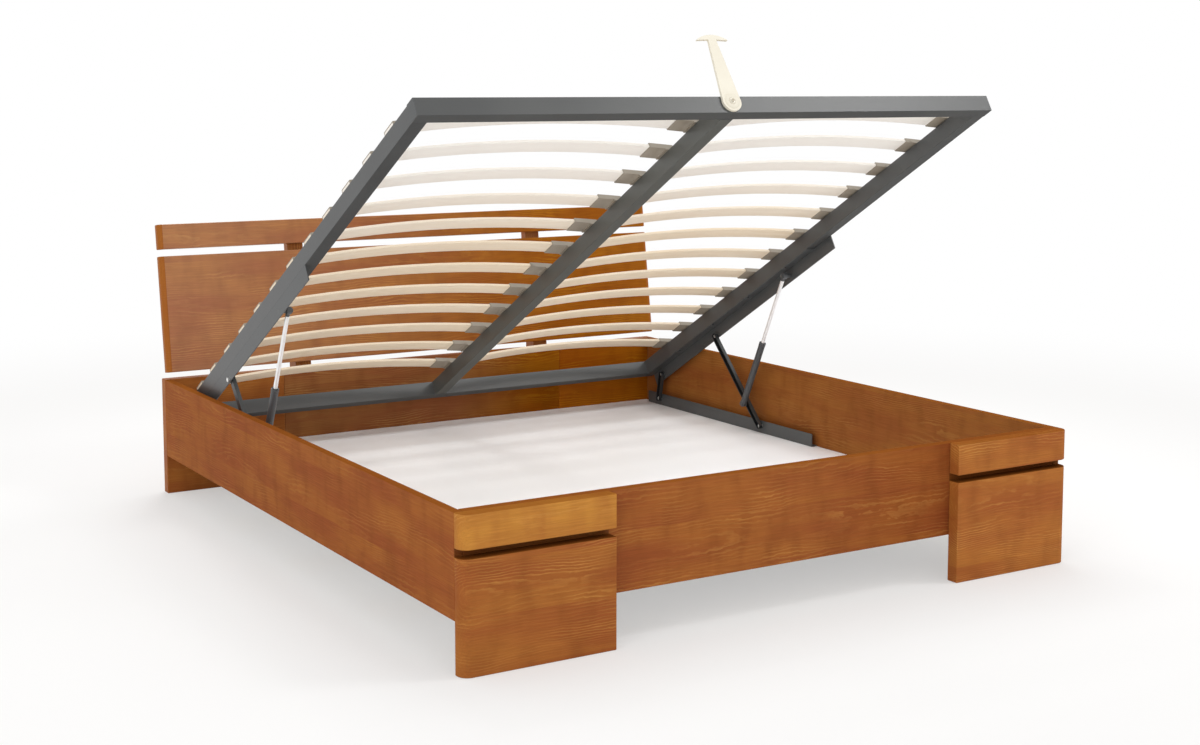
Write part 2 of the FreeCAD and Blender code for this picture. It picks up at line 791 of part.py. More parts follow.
def make_floor():
    sunk = s.plate_thickness + s.floor_thickness + s.screw_grip - s.overrun
    shank = (s.screw_radius, sunk)
    screws = []
    floor_holes = []
    for side in SIDES:
        ledger_holes = []
        for order, point in enumerate(bar_screw_points(side)):
            tag = "bar_screw_%s_%d" % (side, order)
            screws.append(fastener(tag, BED, point, "-z", SCREW_HEAD, shank))
            floor_holes.append(hole(tag + "_floor", BED, point, "-z", shank))
            ledger_holes.append(hole(tag + "_ledger", BED, point, "-z", shank))
        x = low_x(side, s.ledger_inner, s.box_half_width)
        spans = (s.ledger_width, s.box_length, s.ledger_height)
        ledger = box("floor_ledger_%s_box" % side, BED, (x, s.box_foot, s.ledger_under), spans)
        keep(cut("floor_ledger_" + side, ledger, ledger_holes), "floor_ledger_" + side)
    keep(group("lower_bar_screws", screws), "lower_bar_screws")
    half = s.box_half_width - s.floor_clearance
    spans = (2 * half, s.box_length - 2 * s.floor_clearance, s.floor_thickness)
    panel = box("storage_floor_box", BED, (-half, s.box_foot + s.floor_clearance, s.floor_under), spans)
    keep(cut("storage_floor", panel, floor_holes), "storage_floor")
    spans = (2 * s.ledger_inner, s.ledger_width, s.ledger_height)
    for name, y in (("foot", s.box_foot), ("head", s.head_front - s.ledger_width)):
        strip = box("floor_ledger_" + name, BED, (-s.ledger_inner, y, s.ledger_under), spans)
        keep(strip, "floor_ledger_" + name)
    bearers = []
    spans = (2 * s.ledger_inner, s.bearer_width, s.ledger_height)
    for order in range(int(s.bearer_count.value)):
        share = (order + 1) / (s.bearer_count + 1)
        y = s.box_foot + s.box_length * share - s.bearer_width / 2
        bearers.append(box("floor_bearer_%d" % order, BED, (-s.ledger_inner, y, s.ledger_under), spans))
    keep(group("floor_bearers", bearers), "floor_bearers")


def make_foot_supports():
    """Corner blocks that join the rails at the foot, and the batten that stops the platform."""
    blocks = []
    for side in SIDES:
        x = low_x(side, s.box_half_width - s.corner_block_width, s.box_half_width)
        spans = (s.corner_block_width, s.corner_block_width, s.corner_block_height)
        blocks.append(box("foot_corner_block_" + side, BED, (x, s.box_foot, s.floor_top), spans))
    keep(group("foot_corner_blocks", blocks), "foot_corner_blocks")
    spans = (s.rest_batten_length, s.rest_batten_width, s.rest_batten_height)
    level = s.closed_height - s.rest_gap - s.rest_batten_height
    batten = box("platform_rest_batten", BED, (-s.rest_batten_length / 2, s.box_foot, level), spans)
    keep(batten, "platform_rest_batten")


# Platform frame
def tube(name, corner, spans, run):
    """A tube with rounded corners, along X or along the platform, open at both ends."""
    shell = rounded_bar(name + "_outside", PLATFORM, corner, spans, run, s.beam_corner)
    start = []
    hollow = []
    for axis, (place_at, span) in enumerate(zip(corner, spans)):
        ease = -s.overrun if axis == run else s.beam_wall
        start.append(place_at + ease)
        hollow.append(span - 2 * ease)
    return cut(name, shell, [box(name + "_inside", PLATFORM, start, hollow)])


def make_beams(bolt_holes, screw_hole):
    spans = (s.beam_width, s.side_beam_length, s.beam_height)
    y = s.end_beam_width - s.platform_length
    for side in SIDES:
        name = "side_beam_" + side
        beam = tube(name + "_tube", (low_x(side, s.beam_inner, s.half_platform), y, ZERO), spans, 1)
        keep(cut(name, beam, bolt_holes[side]), name)
    keep(tube("centre_beam", (-s.beam_width / 2, y, ZERO), spans, 1), "centre_beam")
    spans = (s.platform_width, s.end_beam_width, s.beam_height)
    foot = tube("foot_beam_tube", (-s.half_platform, -s.platform_length, ZERO), spans, 0)
    keep(cut("foot_beam", foot, [screw_hole]), "foot_beam")
    keep(tube("head_beam", (-s.half_platform, -s.end_beam_width, ZERO), spans, 0), "head_beam")
    make_end_caps()


def make_end_caps():
    """Plugs in the open ends of the foot and head beams."""
    caps = []
    inset = s.beam_wall + s.screw_fit
    for side in SIDES:
        for end, y in (("foot", -s.platform_length), ("head", -s.end_beam_width)):
            name = "cap_%s_%s" % (end, side)
            lip_x = low_x(side, s.half_platform, s.half_platform + s.cap_lip)
            plug_x = low_x(side, s.half_platform - s.cap_depth, s.half_platform)
            lip = (s.cap_lip, s.end_beam_width, s.beam_height)
            plug = (s.cap_depth, s.end_beam_width - 2 * inset, s.beam_height - 2 * inset)
            caps.append(fuse(name, [
                rounded_bar(name + "_lip", PLATFORM, (lip_x, y, ZERO), lip, 0, s.beam_corner),
                box(name + "_plug", PLATFORM, (plug_x, y + inset, inset), plug),
            ]))
    keep(group("beam_end_caps", caps), "beam_end_caps")


def make_upper_brackets():
    """Angles under the side beams that carry the links and struts, and their bolts."""
    bolts = []
    beam_holes = {}
    shank = (s.screw_radius, s.plate_thickness + s.beam_wall + s.overrun)
    for side in SIDES:
        web = at_side(side, s.web_inner)
        outer = at_side(side, s.half_platform)
        inner = at_side(side, s.beam_inner)
        section = [
            (outer, ZERO),
            (inner, ZERO),
            (inner, -s.plate_thickness),
            (web, -s.plate_thickness),
            (web, -s.bracket_drop),
            (outer, -s.bracket_drop),
        ]
        length = s.bracket_end - s.bracket_start
        name = "upper_bracket_" + side
        angle = profile_bar(name + "_bar", PLATFORM, section, s.bracket_start, length)
        holes = []
        for tag, along, drop in (
            ("rear", s.rear_pivot_along, s.rear_pivot_drop),
            ("front", s.front_pivot_along, s.front_pivot_drop),
            ("strut", s.strut_along, s.strut_drop),
        ):
            x = at_side(side, s.web_inner - s.overrun)
            shaft = (s.pin_radius, s.plate_thickness + 2 * s.overrun)
            holes.append(hole(name + "_" + tag, PLATFORM, (x, -along, -drop), outward(side), shaft))
        flange_end = (
            low_x(side, s.beam_inner - s.overrun, s.web_inner),
            -s.bracket_end - s.overrun,
            -s.plate_thickness - s.overrun,
        )
        flange_spans = (
            s.web_inner - s.beam_inner + s.overrun,
            s.flange_setback + s.overrun,
            s.plate_thickness + 2 * s.overrun,
        )
        holes.append(box(name + "_flange_end", PLATFORM, flange_end, flange_spans))
        holes.append(stadium(
            name + "_groove",
            GROOVE,
            side,
            s.web_inner - s.overrun,
            s.groove_floor,
            s.groove_length,
            s.pin_radius + s.groove_fit,
        ))
        beam_holes[side] = []
        bolt_x = at_side(side, s.beam_inner + s.bolt_head_radius)
        for order in range(int(s.bracket_bolt_count.value)):
            along = s.bracket_start + (order + 1) * length / (s.bracket_bolt_count + 1)
            point = (bolt_x, -along, -s.plate_thickness)
            tag = "bracket_bolt_%s_%d" % (side, order)
            bolts.append(fastener(tag, PLATFORM, point, "+z", BOLT_HEAD, shank, hexagon))
            holes.append(hole(tag + "_plate", PLATFORM, point, "+z", shank))
            beam_holes[side].append(hole(tag + "_beam", PLATFORM, point, "+z", shank))
        keep(cut(name, angle, holes), name)
    keep(group("bracket_bolts", bolts), "bracket_bolts")
    return beam_holes


# Slats
def make_slats():
    """Bowed slats, one row on each half of the platform."""
    for side in SIDES:
        name = "slats_" + side
        body = doc.addObject("PartDesign::Body", name)
        body.AllowCompound = True
        sketch = slat_outline(body, side)
        first = pad(body, sketch, s.slat_width)
        row = body.newObject("PartDesign::LinearPattern", name + "_row")
        row.Originals = [first]
        row.Direction = (origin_plane(body, "Y_Axis"), [""])
        row.Reversed = True
        row.setExpression("Length", ((s.slat_count - 1) * s.slat_pitch).formula)
        row.setExpression("Occurrences", s.slat_count.formula)
        body.Tip = row
        place(body, PLATFORM, (ZERO, -s.first_slat, ZERO))
        keep(body, name)


def slat_outline(body, side):
    """Two like arcs, one slat thickness apart, closed by upright ends."""
    sketch = body.newObject("Sketcher::SketchObject", body.Name + "_outline")
    sketch.AttachmentSupport = (origin_plane(body, "XZ_Plane"), [""])
    sketch.MapMode = "FlatFace"
    low = low_x(side, s.slat_inner, s.slat_outer)
    high = low + s.slat_chord
    under = s.slat_under
    over = s.slat_under + s.slat_thickness
    for x, start, end in ((high, under, over), (low, over, under)):
        first = FreeCAD.Vector(x.value, start.value, 0)
        last = FreeCAD.Vector(x.value, end.value, 0)
        sketch.addGeometry(Part.LineSegment(first, last))
    half_angle = math.asin(s.slat_chord.value / 2 / s.slat_radius.value)
    middle = (low.value + high.value) / 2
    for level in (under, over):
        depth = s.slat_radius.value * math.cos(half_angle)
        centre = FreeCAD.Vector(middle, level.value - depth, 0)
        circle = Part.Circle(centre, FreeCAD.Vector(0, 0, 1), s.slat_radius.value)
        upright = math.pi / 2
        sketch.addGeometry(Part.ArcOfCircle(circle, upright - half_angle, upright + half_angle))
    for line, end, arc, arc_end in ((0, 1, 2, 1), (1, 2, 2, 2), (0, 2, 3, 1), (1, 1, 3, 2)):
        sketch.addConstraint(Sketcher.Constraint("Coincident", line, end, arc, arc_end))
    fix_point(sketch, 0, 1, high, under)
    fix_point(sketch, 0, 2, high, over)
    fix_point(sketch, 1, 1, low, over)
    fix_point(sketch, 1, 2, low, under)
    for arc in (2, 3):
        rule = sketch.addConstraint(Sketcher.Constraint("Radius", arc, s.slat_radius.value))
        sketch.setExpression("Constraints[%d]" % rule, s.slat_radius.formula)
    return sketch


def bowed_strip(low, high, spread, width):
    """A slat's solid from low to high, made thicker and wider by spread, about its own middle."""
    chord = s.slat_chord.value
    bow = s.slat_bow.value
    middle = (low + high) / 2
    under = s.slat_under.value - spread
    over = s.slat_under.value + s.slat_thickness.value + spread
    arcs = []
    for level in (under, over):
        ends = [FreeCAD.Vector(x, 0, level) for x in (middle - chord / 2, middle + chord / 2)]
        crown = FreeCAD.Vector(middle, 0, level + bow)
        arcs.append(Part.Arc(ends[0], crown, ends[1]).toShape())
    sides = [
        Part.makeLine(arcs[0].Vertexes[end].Point, arcs[1].Vertexes[end].Point) for end in (0, 1)
    ]
    face = Part.Face(Part.Wire(Part.__sortEdges__(arcs + sides)))
    strip = face.extrude(FreeCAD.Vector(0, -(width + 2 * spread), 0))
    strip.translate(FreeCAD.Vector(0, spread, 0))
    return strip


def holder_shape(side, at_centre):
    """A sleeve that follows the slat's bow, on a foot that stands on the beam."""
    low = low_x(side, s.slat_inner, s.slat_outer).value
    high = low + s.slat_chord.value
    wall = s.holder_wall.value + s.running_gap.value
    width = s.slat_width.value
    at_high_end = at_centre == (side == "left")
    end = high if at_high_end else low
    inward_way = -1 if at_high_end else 1
    length = (s.centre_holder_length if at_centre else s.outer_holder_length).value
    foot = s.holder_foot_length.value
    tall = s.slat_under.value + s.slat_thickness.value + s.slat_bow.value
    window = Part.makeBox(length, width + 2 * wall, tall + wall)
    window.translate(FreeCAD.Vector(min(end, end + inward_way * length), -width - wall, 0))
    sleeve = bowed_strip(low, high, wall, width).common(window)
    rise = s.slat_seat.value + s.slat_thickness.value
    base = Part.makeBox(foot, width + 2 * wall, rise)
    shift = FreeCAD.Vector(min(end, end + inward_way * foot), -width - wall, s.beam_height.value)
    base.translate(shift)
    above_beam = Part.makeBox(length, width + 2 * wall, tall + wall)
    above_beam.translate(
        FreeCAD.Vector(min(end, end + inward_way * length), -width - wall, s.beam_height.value)
    )
    room = bowed_strip(low, high, s.running_gap.value, width)
    return sleeve.fuse(base).common(above_beam).cut(room).removeSplitter()


def make_slat_holders():
    for name, at_centre in (("slat_holders_outer", False), ("slat_holders_centre", True)):
        holders = []
        for side in SIDES:
            one = holder_shape(side, at_centre)
            for order in range(int(s.slat_count.value)):
                copy = one.copy()
                along = s.first_slat.value + order * s.slat_pitch.value
                copy.translate(FreeCAD.Vector(0, -along, 0))
                holders.append(copy)
        item = doc.addObject("Part::Feature", name)
        item.Shape = Part.makeCompound(holders)
        place(item, PLATFORM, (ZERO, ZERO, ZERO))
        keep(item, name)


# Lift gear
def pivot_pin(name, frame, side, along, drop):
    """A pin through a link and a plate: head in the link's channel, collar between, nut outside."""
    point = (at_side(side, s.link_outer - s.link_wall - s.running_gap), along, -drop)
    way = outward(side)
    shaft = s.link_wall + s.running_gap + s.link_offset + s.plate_thickness
    collar = (at_side(side, s.web_inner - s.link_offset + s.running_gap), along, -drop)
    nut = (at_side(side, s.half_platform), along, -drop)
    return fuse(name, [
        fastener(name + "_pin", frame, point, way, (s.pin_head_radius, s.pin_head_height),
                 (s.pin_radius, shaft + s.nut_height / 2)),
        cylinder(name + "_collar", frame, collar, way, s.pin_head_radius,
                 s.link_offset - s.running_gap),
        hexagon(name + "_nut", frame, nut, way, s.pin_head_radius, s.nut_height),
    ])


def make_lower_bars():
    """Angles on the storage floor beside the rails; the links turn on their pins."""
    start = s.head_front - s.bar_setback
    pins = []
    for side in SIDES:
        web = at_side(side, s.web_inner)
        outer = at_side(side, s.half_platform)
        rail = at_side(side, s.box_half_width)
        top = s.floor_top + s.bar_height
        flange = s.floor_top + s.plate_thickness
        section = [
            (web, s.floor_top),
            (rail, s.floor_top),
            (rail, flange),
            (outer, flange),
            (outer, top),
            (web, top),
        ]
        name = "lower_bar_" + side
        angle = profile_bar(name + "_bar", BED, section, -start, s.bar_length)
        sunk = s.plate_thickness + s.floor_thickness
        shank = (s.screw_radius, sunk)
        holes = [
            hole("%s_screw_%d" % (name, order), BED, point, "-z", shank)
            for order, point in enumerate(bar_screw_points(side))
        ]
        for link, y in (("rear", s.rear_foot_y), ("front", s.front_foot_y)):
            x = at_side(side, s.web_inner - s.overrun)
            shaft = (s.pin_radius, s.plate_thickness + 2 * s.overrun)
            holes.append(
                hole("%s_%s" % (name, link), BED, (x, y, s.pivot_level), outward(side), shaft)
            )
            pins.append(pivot_pin("pin_%s_%s" % (link, side), BED, side, y, -s.pivot_level))
        keep(cut(name, angle, holes), name)
    keep(group("lower_pivot_pins", pins), "lower_pivot_pins")


def make_links():
    """Channel links: the open side faces into the bed."""
    radius = s.link_width / 2
    floor = s.link_outer - s.link_wall
    for side in SIDES:
        for kind in ("rear", "front"):
            frame = LINKS[kind]
            length = getattr(s, kind + "_length")
            name = "%s_link_%s" % (kind, side)
            way = outward(side)
            bar = stadium(name + "_bar", frame, side, s.link_inner, s.link_outer, length, radius)
            groove = stadium(
                name + "_groove",
                frame,
                side,
                s.link_inner - s.overrun,
                floor,
                length,
                radius - s.link_wall,
            )
            channel = cut(name + "_channel", bar, [groove])
            x = at_side(side, floor - s.overrun)
            bore = s.pin_radius + s.pin_fit
            depth = s.link_wall + 2 * s.overrun
            holes = [cylinder(name + "_low_bore", frame, (x, ZERO, ZERO), way, bore, depth)]
            if kind == "rear":
                holes.append(cylinder(name + "_high_bore", frame, (x, length, ZERO), way, bore, depth))
                keep(cut(name, channel, holes), name)
            else:
                pierced = cut(name + "_pierced", channel, holes)
                keep(fuse(name, [pierced] + front_link_stud(name, frame, side, length)), name)


def front_link_stud(name, frame, side, length):
    """Stud fixed in the top of a front link; its collar slides on the bracket along the groove."""
    way = outward(side)
    head = (at_side(side, s.link_outer - s.link_wall - s.pin_head_height), length, ZERO)
    collar = (at_side(side, s.link_outer), length, ZERO)
    return [
        cylinder(name + "_stud_head", frame, head, way, s.pin_head_radius, s.pin_head_height),
        cylinder(name + "_stud_collar", frame, collar, way, s.pin_head_radius,
                 s.link_offset - s.running_gap),
    ]


def groove_stop(name, side):
    """Nut and shank that close the groove at the front link's open place, seen from outside."""
    y, z = -s.front_pivot_along, -s.front_pivot_drop
    way = outward(side)
    shank = (at_side(side, s.groove_floor), y, z)
    nut = (at_side(side, s.half_platform), y, z)
    skin = s.half_platform - s.groove_floor
    return fuse(name, [
        cylinder(name + "_shank", PLATFORM, shank, way, s.pin_radius, skin + s.nut_height / 2),
        hexagon(name + "_nut", PLATFORM, nut, way, s.pin_head_radius, s.nut_height),
    ])


def make_upper_pins():
    """Pins of the rear links, groove stops and studs of the struts, all on the upper brackets."""
    pins = []
    studs = []
    eye_inner = s.strut_middle - s.eye_width / 2
    eye_outer = s.strut_middle + s.eye_width / 2
    for side in SIDES:
        pins.append(
            pivot_pin("pin_upper_" + side, PLATFORM, side, -s.rear_pivot_along, s.rear_pivot_drop)
        )
        pins.append(groove_stop("groove_stop_" + side, side))
        way = outward(side)
        y, z = -s.strut_along, -s.strut_drop
        point = (at_side(side, eye_inner - s.running_gap), y, z)
        shoulder = (at_side(side, eye_outer + s.running_gap), y, z)
        reach = s.half_platform - eye_inner + s.running_gap
        name = "strut_stud_" + side
        studs.append(fuse(name, [
            fastener(name + "_pin", PLATFORM, point, way, (s.pin_head_radius, s.pin_head_height),
                     (s.pin_radius, reach)),
            cylinder(name + "_shoulder", PLATFORM, shoulder, way, s.pin_head_radius,
                     s.web_inner - eye_outer - s.running_gap),
        ]))
    keep(group("upper_pivot_pins", pins), "upper_pivot_pins")
    keep(group("strut_studs", studs), "strut_studs")


def make_struts():
    """Gas struts: the rod hangs on the bracket's stud, the cylinder's foot bears on the front link."""
    eye_inner = s.strut_middle - s.eye_width / 2
    eye_outer = s.strut_middle + s.eye_width / 2
    gland = s.strut_length - s.cylinder_length
    for side in SIDES:
        way = outward(side)
        middle = at_side(side, s.strut_middle)
        eye_start = (at_side(side, eye_inner), ZERO, ZERO)
        name = "strut_rod_" + side
        eye = cylinder(name + "_eye", STRUT, eye_start, way, s.eye_radius, s.eye_width)
        rod = cylinder(name + "_shaft", STRUT, (middle, ZERO, ZERO), "+y", s.rod_radius,
                       gland + s.rod_engaged)
        bore_start = (at_side(side, eye_inner - s.overrun), ZERO, ZERO)
        bore = cylinder(name + "_bore", STRUT, bore_start, way, s.pin_radius + s.pin_fit,
                        s.eye_width + 2 * s.overrun)
        keep(cut(name, fuse(name + "_whole", [eye, rod]), [bore]), name)

        name = "strut_cylinder_" + side
        body = cylinder(name + "_body", STRUT, (middle, gland, ZERO), "+y", s.cylinder_radius,
                        s.cylinder_length)
        depth = s.cylinder_length - s.cylinder_end
        bore = cylinder(name + "_bore", STRUT, (middle, gland - s.overrun, ZERO), "+y",
                        s.rod_radius + s.pin_fit, depth + s.overrun)
        foot = (at_side(side, eye_inner), s.strut_length, ZERO)
        head = (at_side(side, eye_inner - s.pin_head_height), s.strut_length, ZERO)
        stud = s.link_inner - s.running_gap - eye_inner
        keep(fuse(name, [
            cut(name + "_tube", body, [bore]),
            cylinder(name + "_eye", STRUT, foot, way, s.eye_radius, s.eye_width),
            cylinder(name + "_stud", STRUT, foot, way, s.pin_radius, stud),
            cylinder(name + "_head", STRUT, head, way, s.pin_head_radius, s.pin_head_height),
        ]), name)


# Pull strap
def arch_radius(half, rise):
    """Radius of an arch from half its width and its rise."""
    return (half * half + rise * rise) / (2 * rise)


def make_pull_strap():
    """A T-shaped strap, free to swing on the screw through its round end."""
    face = -s.platform_length
    pivot = s.strap_pivot_height
    crest = pivot + s.strap_length
    neck = crest - s.strap_head_height / 2
    start = (ZERO, face, pivot)
    disc = cylinder("strap_disc", PLATFORM, start, "-y", s.strap_end_radius, s.strap_thickness)
    body = doc.addObject("PartDesign::Body", "strap_stem")
    stem = [
        (-s.strap_root_width / 2, pivot),
        (s.strap_root_width / 2, pivot),
        (s.strap_neck_width / 2, neck),
        (-s.strap_neck_width / 2, neck),
    ]
    pad(body, outline(body, "XZ_Plane", stem), s.strap_thickness)
    place(body, PLATFORM, (ZERO, face, ZERO))
    half = s.strap_head_width / 2
    over = arch_radius(half, s.strap_head_rise)
    under = arch_radius(half, s.strap_head_rise + s.strap_tip - s.strap_head_height)
    crown = cylinder("strap_crown", PLATFORM, (ZERO, face, crest - over), "-y", over, s.strap_thickness)
    hollow_centre = (ZERO, face + s.overrun, crest - s.strap_head_height - under)
    hollow = cylinder("strap_hollow", PLATFORM, hollow_centre, "-y", under,
                      s.strap_thickness + 2 * s.overrun)
    crescent = cut("strap_crescent", crown, [hollow])
    depth = s.strap_head_rise + s.strap_tip
    window = box("strap_window", PLATFORM, (-half, face - s.strap_thickness, crest - depth),
                 (s.strap_head_width, s.strap_thickness, depth))
    head = doc.addObject("Part::Common", "strap_head")
    head.Base = crescent
    head.Tool = window
    whole = fuse("strap_whole", [disc, body, head])
    bore_start = (ZERO, face + s.overrun, pivot)
    bore = cylinder("strap_bore", PLATFORM, bore_start, "-y", s.bolt_radius + s.pin_fit,
                    s.strap_thickness + 2 * s.overrun)
    keep(cut("pull_strap", whole, [bore]), "pull_strap")
    washer_start = (ZERO, face - s.strap_thickness, pivot)
    washer = cylinder("strap_washer_disc", PLATFORM, washer_start, "-y", s.washer_radius,
                      s.washer_thickness)
    washer_bore = cylinder("strap_washer_bore", PLATFORM, bore_start, "-y", s.bolt_radius + s.pin_fit,
                           s.strap_thickness + s.washer_thickness + 2 * s.overrun)
    keep(cut("strap_washer", washer, [washer_bore]), "strap_washer")
    stack = s.strap_thickness + s.washer_thickness
    point = (ZERO, face - stack, pivot)
    shank = (s.bolt_radius, stack + s.beam_wall + s.overrun)
    keep(fastener("strap_screw", PLATFORM, point, "+y", SCREW_HEAD, shank), "strap_screw")
    return hole("strap_screw_hole", PLATFORM, point, "+y", shank)


bolt_holes = make_head_bolts()
make_side_rails(bolt_holes)
make_foot_end()
make_head_end(bolt_holes)
make_floor()
make_foot_supports()
make_beams(make_upper_brackets(), make_pull_strap())
make_slats()
make_slat_holders()
make_lower_bars()
make_links()
make_upper_pins()
make_struts()
doc.recompute()

for item in doc.Objects:
    if "Invalid" in item.State or "Error" in item.State:
        raise RuntimeError("failed: %s %s" % (item.Name, item.State))
for item in nodes:
    if item.Shape.isNull() or not item.Shape.isValid():
        raise RuntimeError("bad shape: " + item.Label)

os.makedirs("parts", exist_ok=True)
for item in nodes:
    item.Shape.exportStep("parts/%s.step" % item.Label)
    print("%-24s %3d solids %12.0f mm3" % (item.Label, len(item.Shape.Solids), item.Shape.Volume))

for alias in ("foot_face", "head_front", "open_rear", "rear_foot_y", "rear_top_y", "rear_top_z",
              "front_foot_y", "front_top_y", "front_top_z", "strut_top_y", "strut_top_z",
              "strut_low_y", "strut_low_z", "rear_length", "front_length", "strut_length"):
    print(alias, round(getattr(s, alias).value, 3))
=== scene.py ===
# %% [markdown]
# # A storage bed with a lift-up slatted platform
# The real bed is a box of stained pine boards. Its slatted steel platform swings up on links and gas
# struts, so that the room under the mattress can hold bedding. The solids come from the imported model,
# already in their place and in metres. This file gives them their finishes, adds the small details that
# belong to the surface, and sets up a plain studio round them.

# %% Load the solids
import math

import bmesh
import bpy
from mathutils import Matrix, Vector


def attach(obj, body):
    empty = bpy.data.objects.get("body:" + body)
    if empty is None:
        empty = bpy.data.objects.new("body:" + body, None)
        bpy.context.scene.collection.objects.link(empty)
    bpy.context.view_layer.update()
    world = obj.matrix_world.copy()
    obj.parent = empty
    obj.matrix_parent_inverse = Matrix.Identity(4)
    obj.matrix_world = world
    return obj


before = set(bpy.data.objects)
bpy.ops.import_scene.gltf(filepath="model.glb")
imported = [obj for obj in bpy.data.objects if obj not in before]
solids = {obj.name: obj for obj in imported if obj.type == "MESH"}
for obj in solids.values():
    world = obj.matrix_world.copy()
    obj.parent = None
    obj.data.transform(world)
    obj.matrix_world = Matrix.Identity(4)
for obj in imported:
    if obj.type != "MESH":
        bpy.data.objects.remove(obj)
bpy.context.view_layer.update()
print("solids loaded:", len(solids))

# %% [markdown]
# ## Arithmetic for finishes
# A shader is a graph of nodes, and a long formula makes a large graph. It could be wired by hand, node
# by node. Here a small class wraps one output of a node and overloads the signs of arithmetic, so that
# a formula in Python adds the Math nodes by itself. A second class holds one material and makes every
# other kind of node.

# %% Values that do arithmetic
class Value:
    """An output of a shader node. Arithmetic on it adds Math nodes to the same finish."""

    def __init__(self, finish, socket):
        self.finish = finish
        self.socket = socket

    def math(self, operation, *others):
        operands = dict(enumerate((self,) + others))
        return self.finish.node("ShaderNodeMath", {"operation": operation}, operands)

    def __add__(self, other):
        return self.math("ADD", other)

    def __radd__(self, other):
        return self.math("ADD", other)

    def __sub__(self, other):
        return self.math("SUBTRACT", other)

    def __rsub__(self, other):
        return self * -1.0 + other

    def __mul__(self, other):
        return self.math("MULTIPLY", other)

    def __rmul__(self, other):
        return self.math("MULTIPLY", other)

    def __truediv__(self, other):
        return self.math("DIVIDE", other)

    def __abs__(self):
        return self.math("ABSOLUTE")

    def ease(self, start, end):
        """0 at start, 1 at end, with a smooth rise between; start may be the larger of the two."""
        settings = {"interpolation_type": "SMOOTHSTEP"}
        return self.finish.node("ShaderNodeMapRange", settings, {0: self, 1: start, 2: end})

    def also(self, output):
        """Another output of the same node."""
        return Value(self.finish, self.socket.node.outputs[output])


# %% Finishes that make nodes
class Finish:
    """A material built round its Principled shader."""

    def __init__(self, name, **constants):
        self.material = bpy.data.materials.new(name)
        self.material.use_nodes = True
        self.nodes = self.material.node_tree.nodes
        self.links = self.material.node_tree.links
        self.shader = self.nodes["Principled BSDF"]
        for constant, value in constants.items():
            self.shader.inputs[constant.replace("_", " ")].default_value = value

    def feed(self, socket, value):
        if isinstance(value, Value):
            self.links.new(value.socket, socket)
        else:
            socket.default_value = value

    def node(self, kind, settings, sockets, output=0):
        made = self.nodes.new(kind)
        for name, setting in settings.items():
            setattr(made, name, setting)
        for name, value in sockets.items():
            self.feed(made.inputs[name], value)
        return Value(self, made.outputs[output])

    def place(self, turn=0.0, shift=(0.0, 0.0, 0.0)):
        """Object coordinates, turned about X and then shifted, as three numbers."""
        here = self.node("ShaderNodeTexCoord", {}, {}, "Object")
        sockets = {"Vector": here, "Rotation": (turn, 0.0, 0.0), "Location": shift}
        moved = self.node("ShaderNodeMapping", {"vector_type": "POINT"}, sockets)
        split = self.node("ShaderNodeSeparateXYZ", {}, {0: moved})
        return split, split.also(1), split.also(2)

    def point(self, x, y, z):
        return self.node("ShaderNodeCombineXYZ", {}, {0: x, 1: y, 2: z})

    def noise(self, x, y, z, detail=2.0):
        sockets = {"Vector": self.point(x, y, z), "Scale": 1.0, "Detail": detail}
        return self.node("ShaderNodeTexNoise", {}, sockets)

    def chance(self, number):
        """One random number for each whole number."""
        return self.node("ShaderNodeTexWhiteNoise", {"noise_dimensions": "1D"}, {"W": number})

    def mix(self, share, first, second, way="MIX"):
        settings = {"data_type": "RGBA", "blend_type": way}
        return self.node("ShaderNodeMix", settings, {0: share, 6: first, 7: second}, 2)

    def grey(self, brightness):
        """A grey colour from a number, to multiply another colour with."""
        return self.node("ShaderNodeCombineColor", {}, {0: brightness, 1: brightness, 2: brightness})

    def wear(self, colour, roughness, height, distance, strength=1.0):
        """Joins the colour, the roughness and the bump to the shader."""
        self.feed(self.shader.inputs["Base Color"], colour)
        self.feed(self.shader.inputs["Roughness"], roughness)
        sockets = {"Height": height, "Distance": distance, "Strength": strength}
        self.feed(self.shader.inputs["Normal"], self.node("ShaderNodeBump", {}, sockets))
        return self.material


def shade(red, green, blue):
    """A colour as a paint chart gives it, 0 to 255, turned into the linear values that shaders use."""
    return tuple(((part / 255 + 0.055) / 1.055) ** 2.4 for part in (red, green, blue)) + (1.0,)


def dress(names, material):
    """Puts one material on solids that have a single finish."""
    for name in names:
        slots = solids[name].data.materials
        slots.clear()
        slots.append(material)


# %% [markdown]
# ## Stained pine
# The boards are pine, glued up from narrow staves, stained orange-brown and lacquered to a satin shine.
# Stain sinks into the soft wood between the year rings, so the rings stay lighter than the ground,
# which is the reverse of bare pine. A flat picture of wood would not go round corners. This finish is
# solid instead: every stave is cut from its own tree, whose rings lie round a heart behind the board,
# and the board's faces show wherever they cut those rings. That gives long flames on the face and arcs
# on the ends.

# %% Year rings in a board
PINE_DARK = shade(130, 72, 32)
PINE_GROUND = shade(163, 100, 45)
PINE_RED = shade(149, 82, 40)
PINE_LIGHT = shade(206, 148, 76)
PINE_GOLD = shade(191, 131, 56)
PINE_END = shade(160, 92, 28)
PINE_TOP_SHADE = shade(130, 74, 26)
GROOVE_SHADE = shade(84, 44, 16)
STAVE = 0.124
RING = 0.0052
WANDER = 0.042
RIPPLE = 0.005
HEART_BEHIND = 0.045


def turned_box(name, turn):
    """Corners of a solid's box in axes that are turned about X with it."""
    turned = Matrix.Rotation(turn, 3, "X")
    corners = [turned @ vertex.co for vertex in solids[name].data.vertices]
    low = Vector([min(corner[axis] for corner in corners) for axis in range(3)])
    high = Vector([max(corner[axis] for corner in corners) for axis in range(3)])
    return low, high


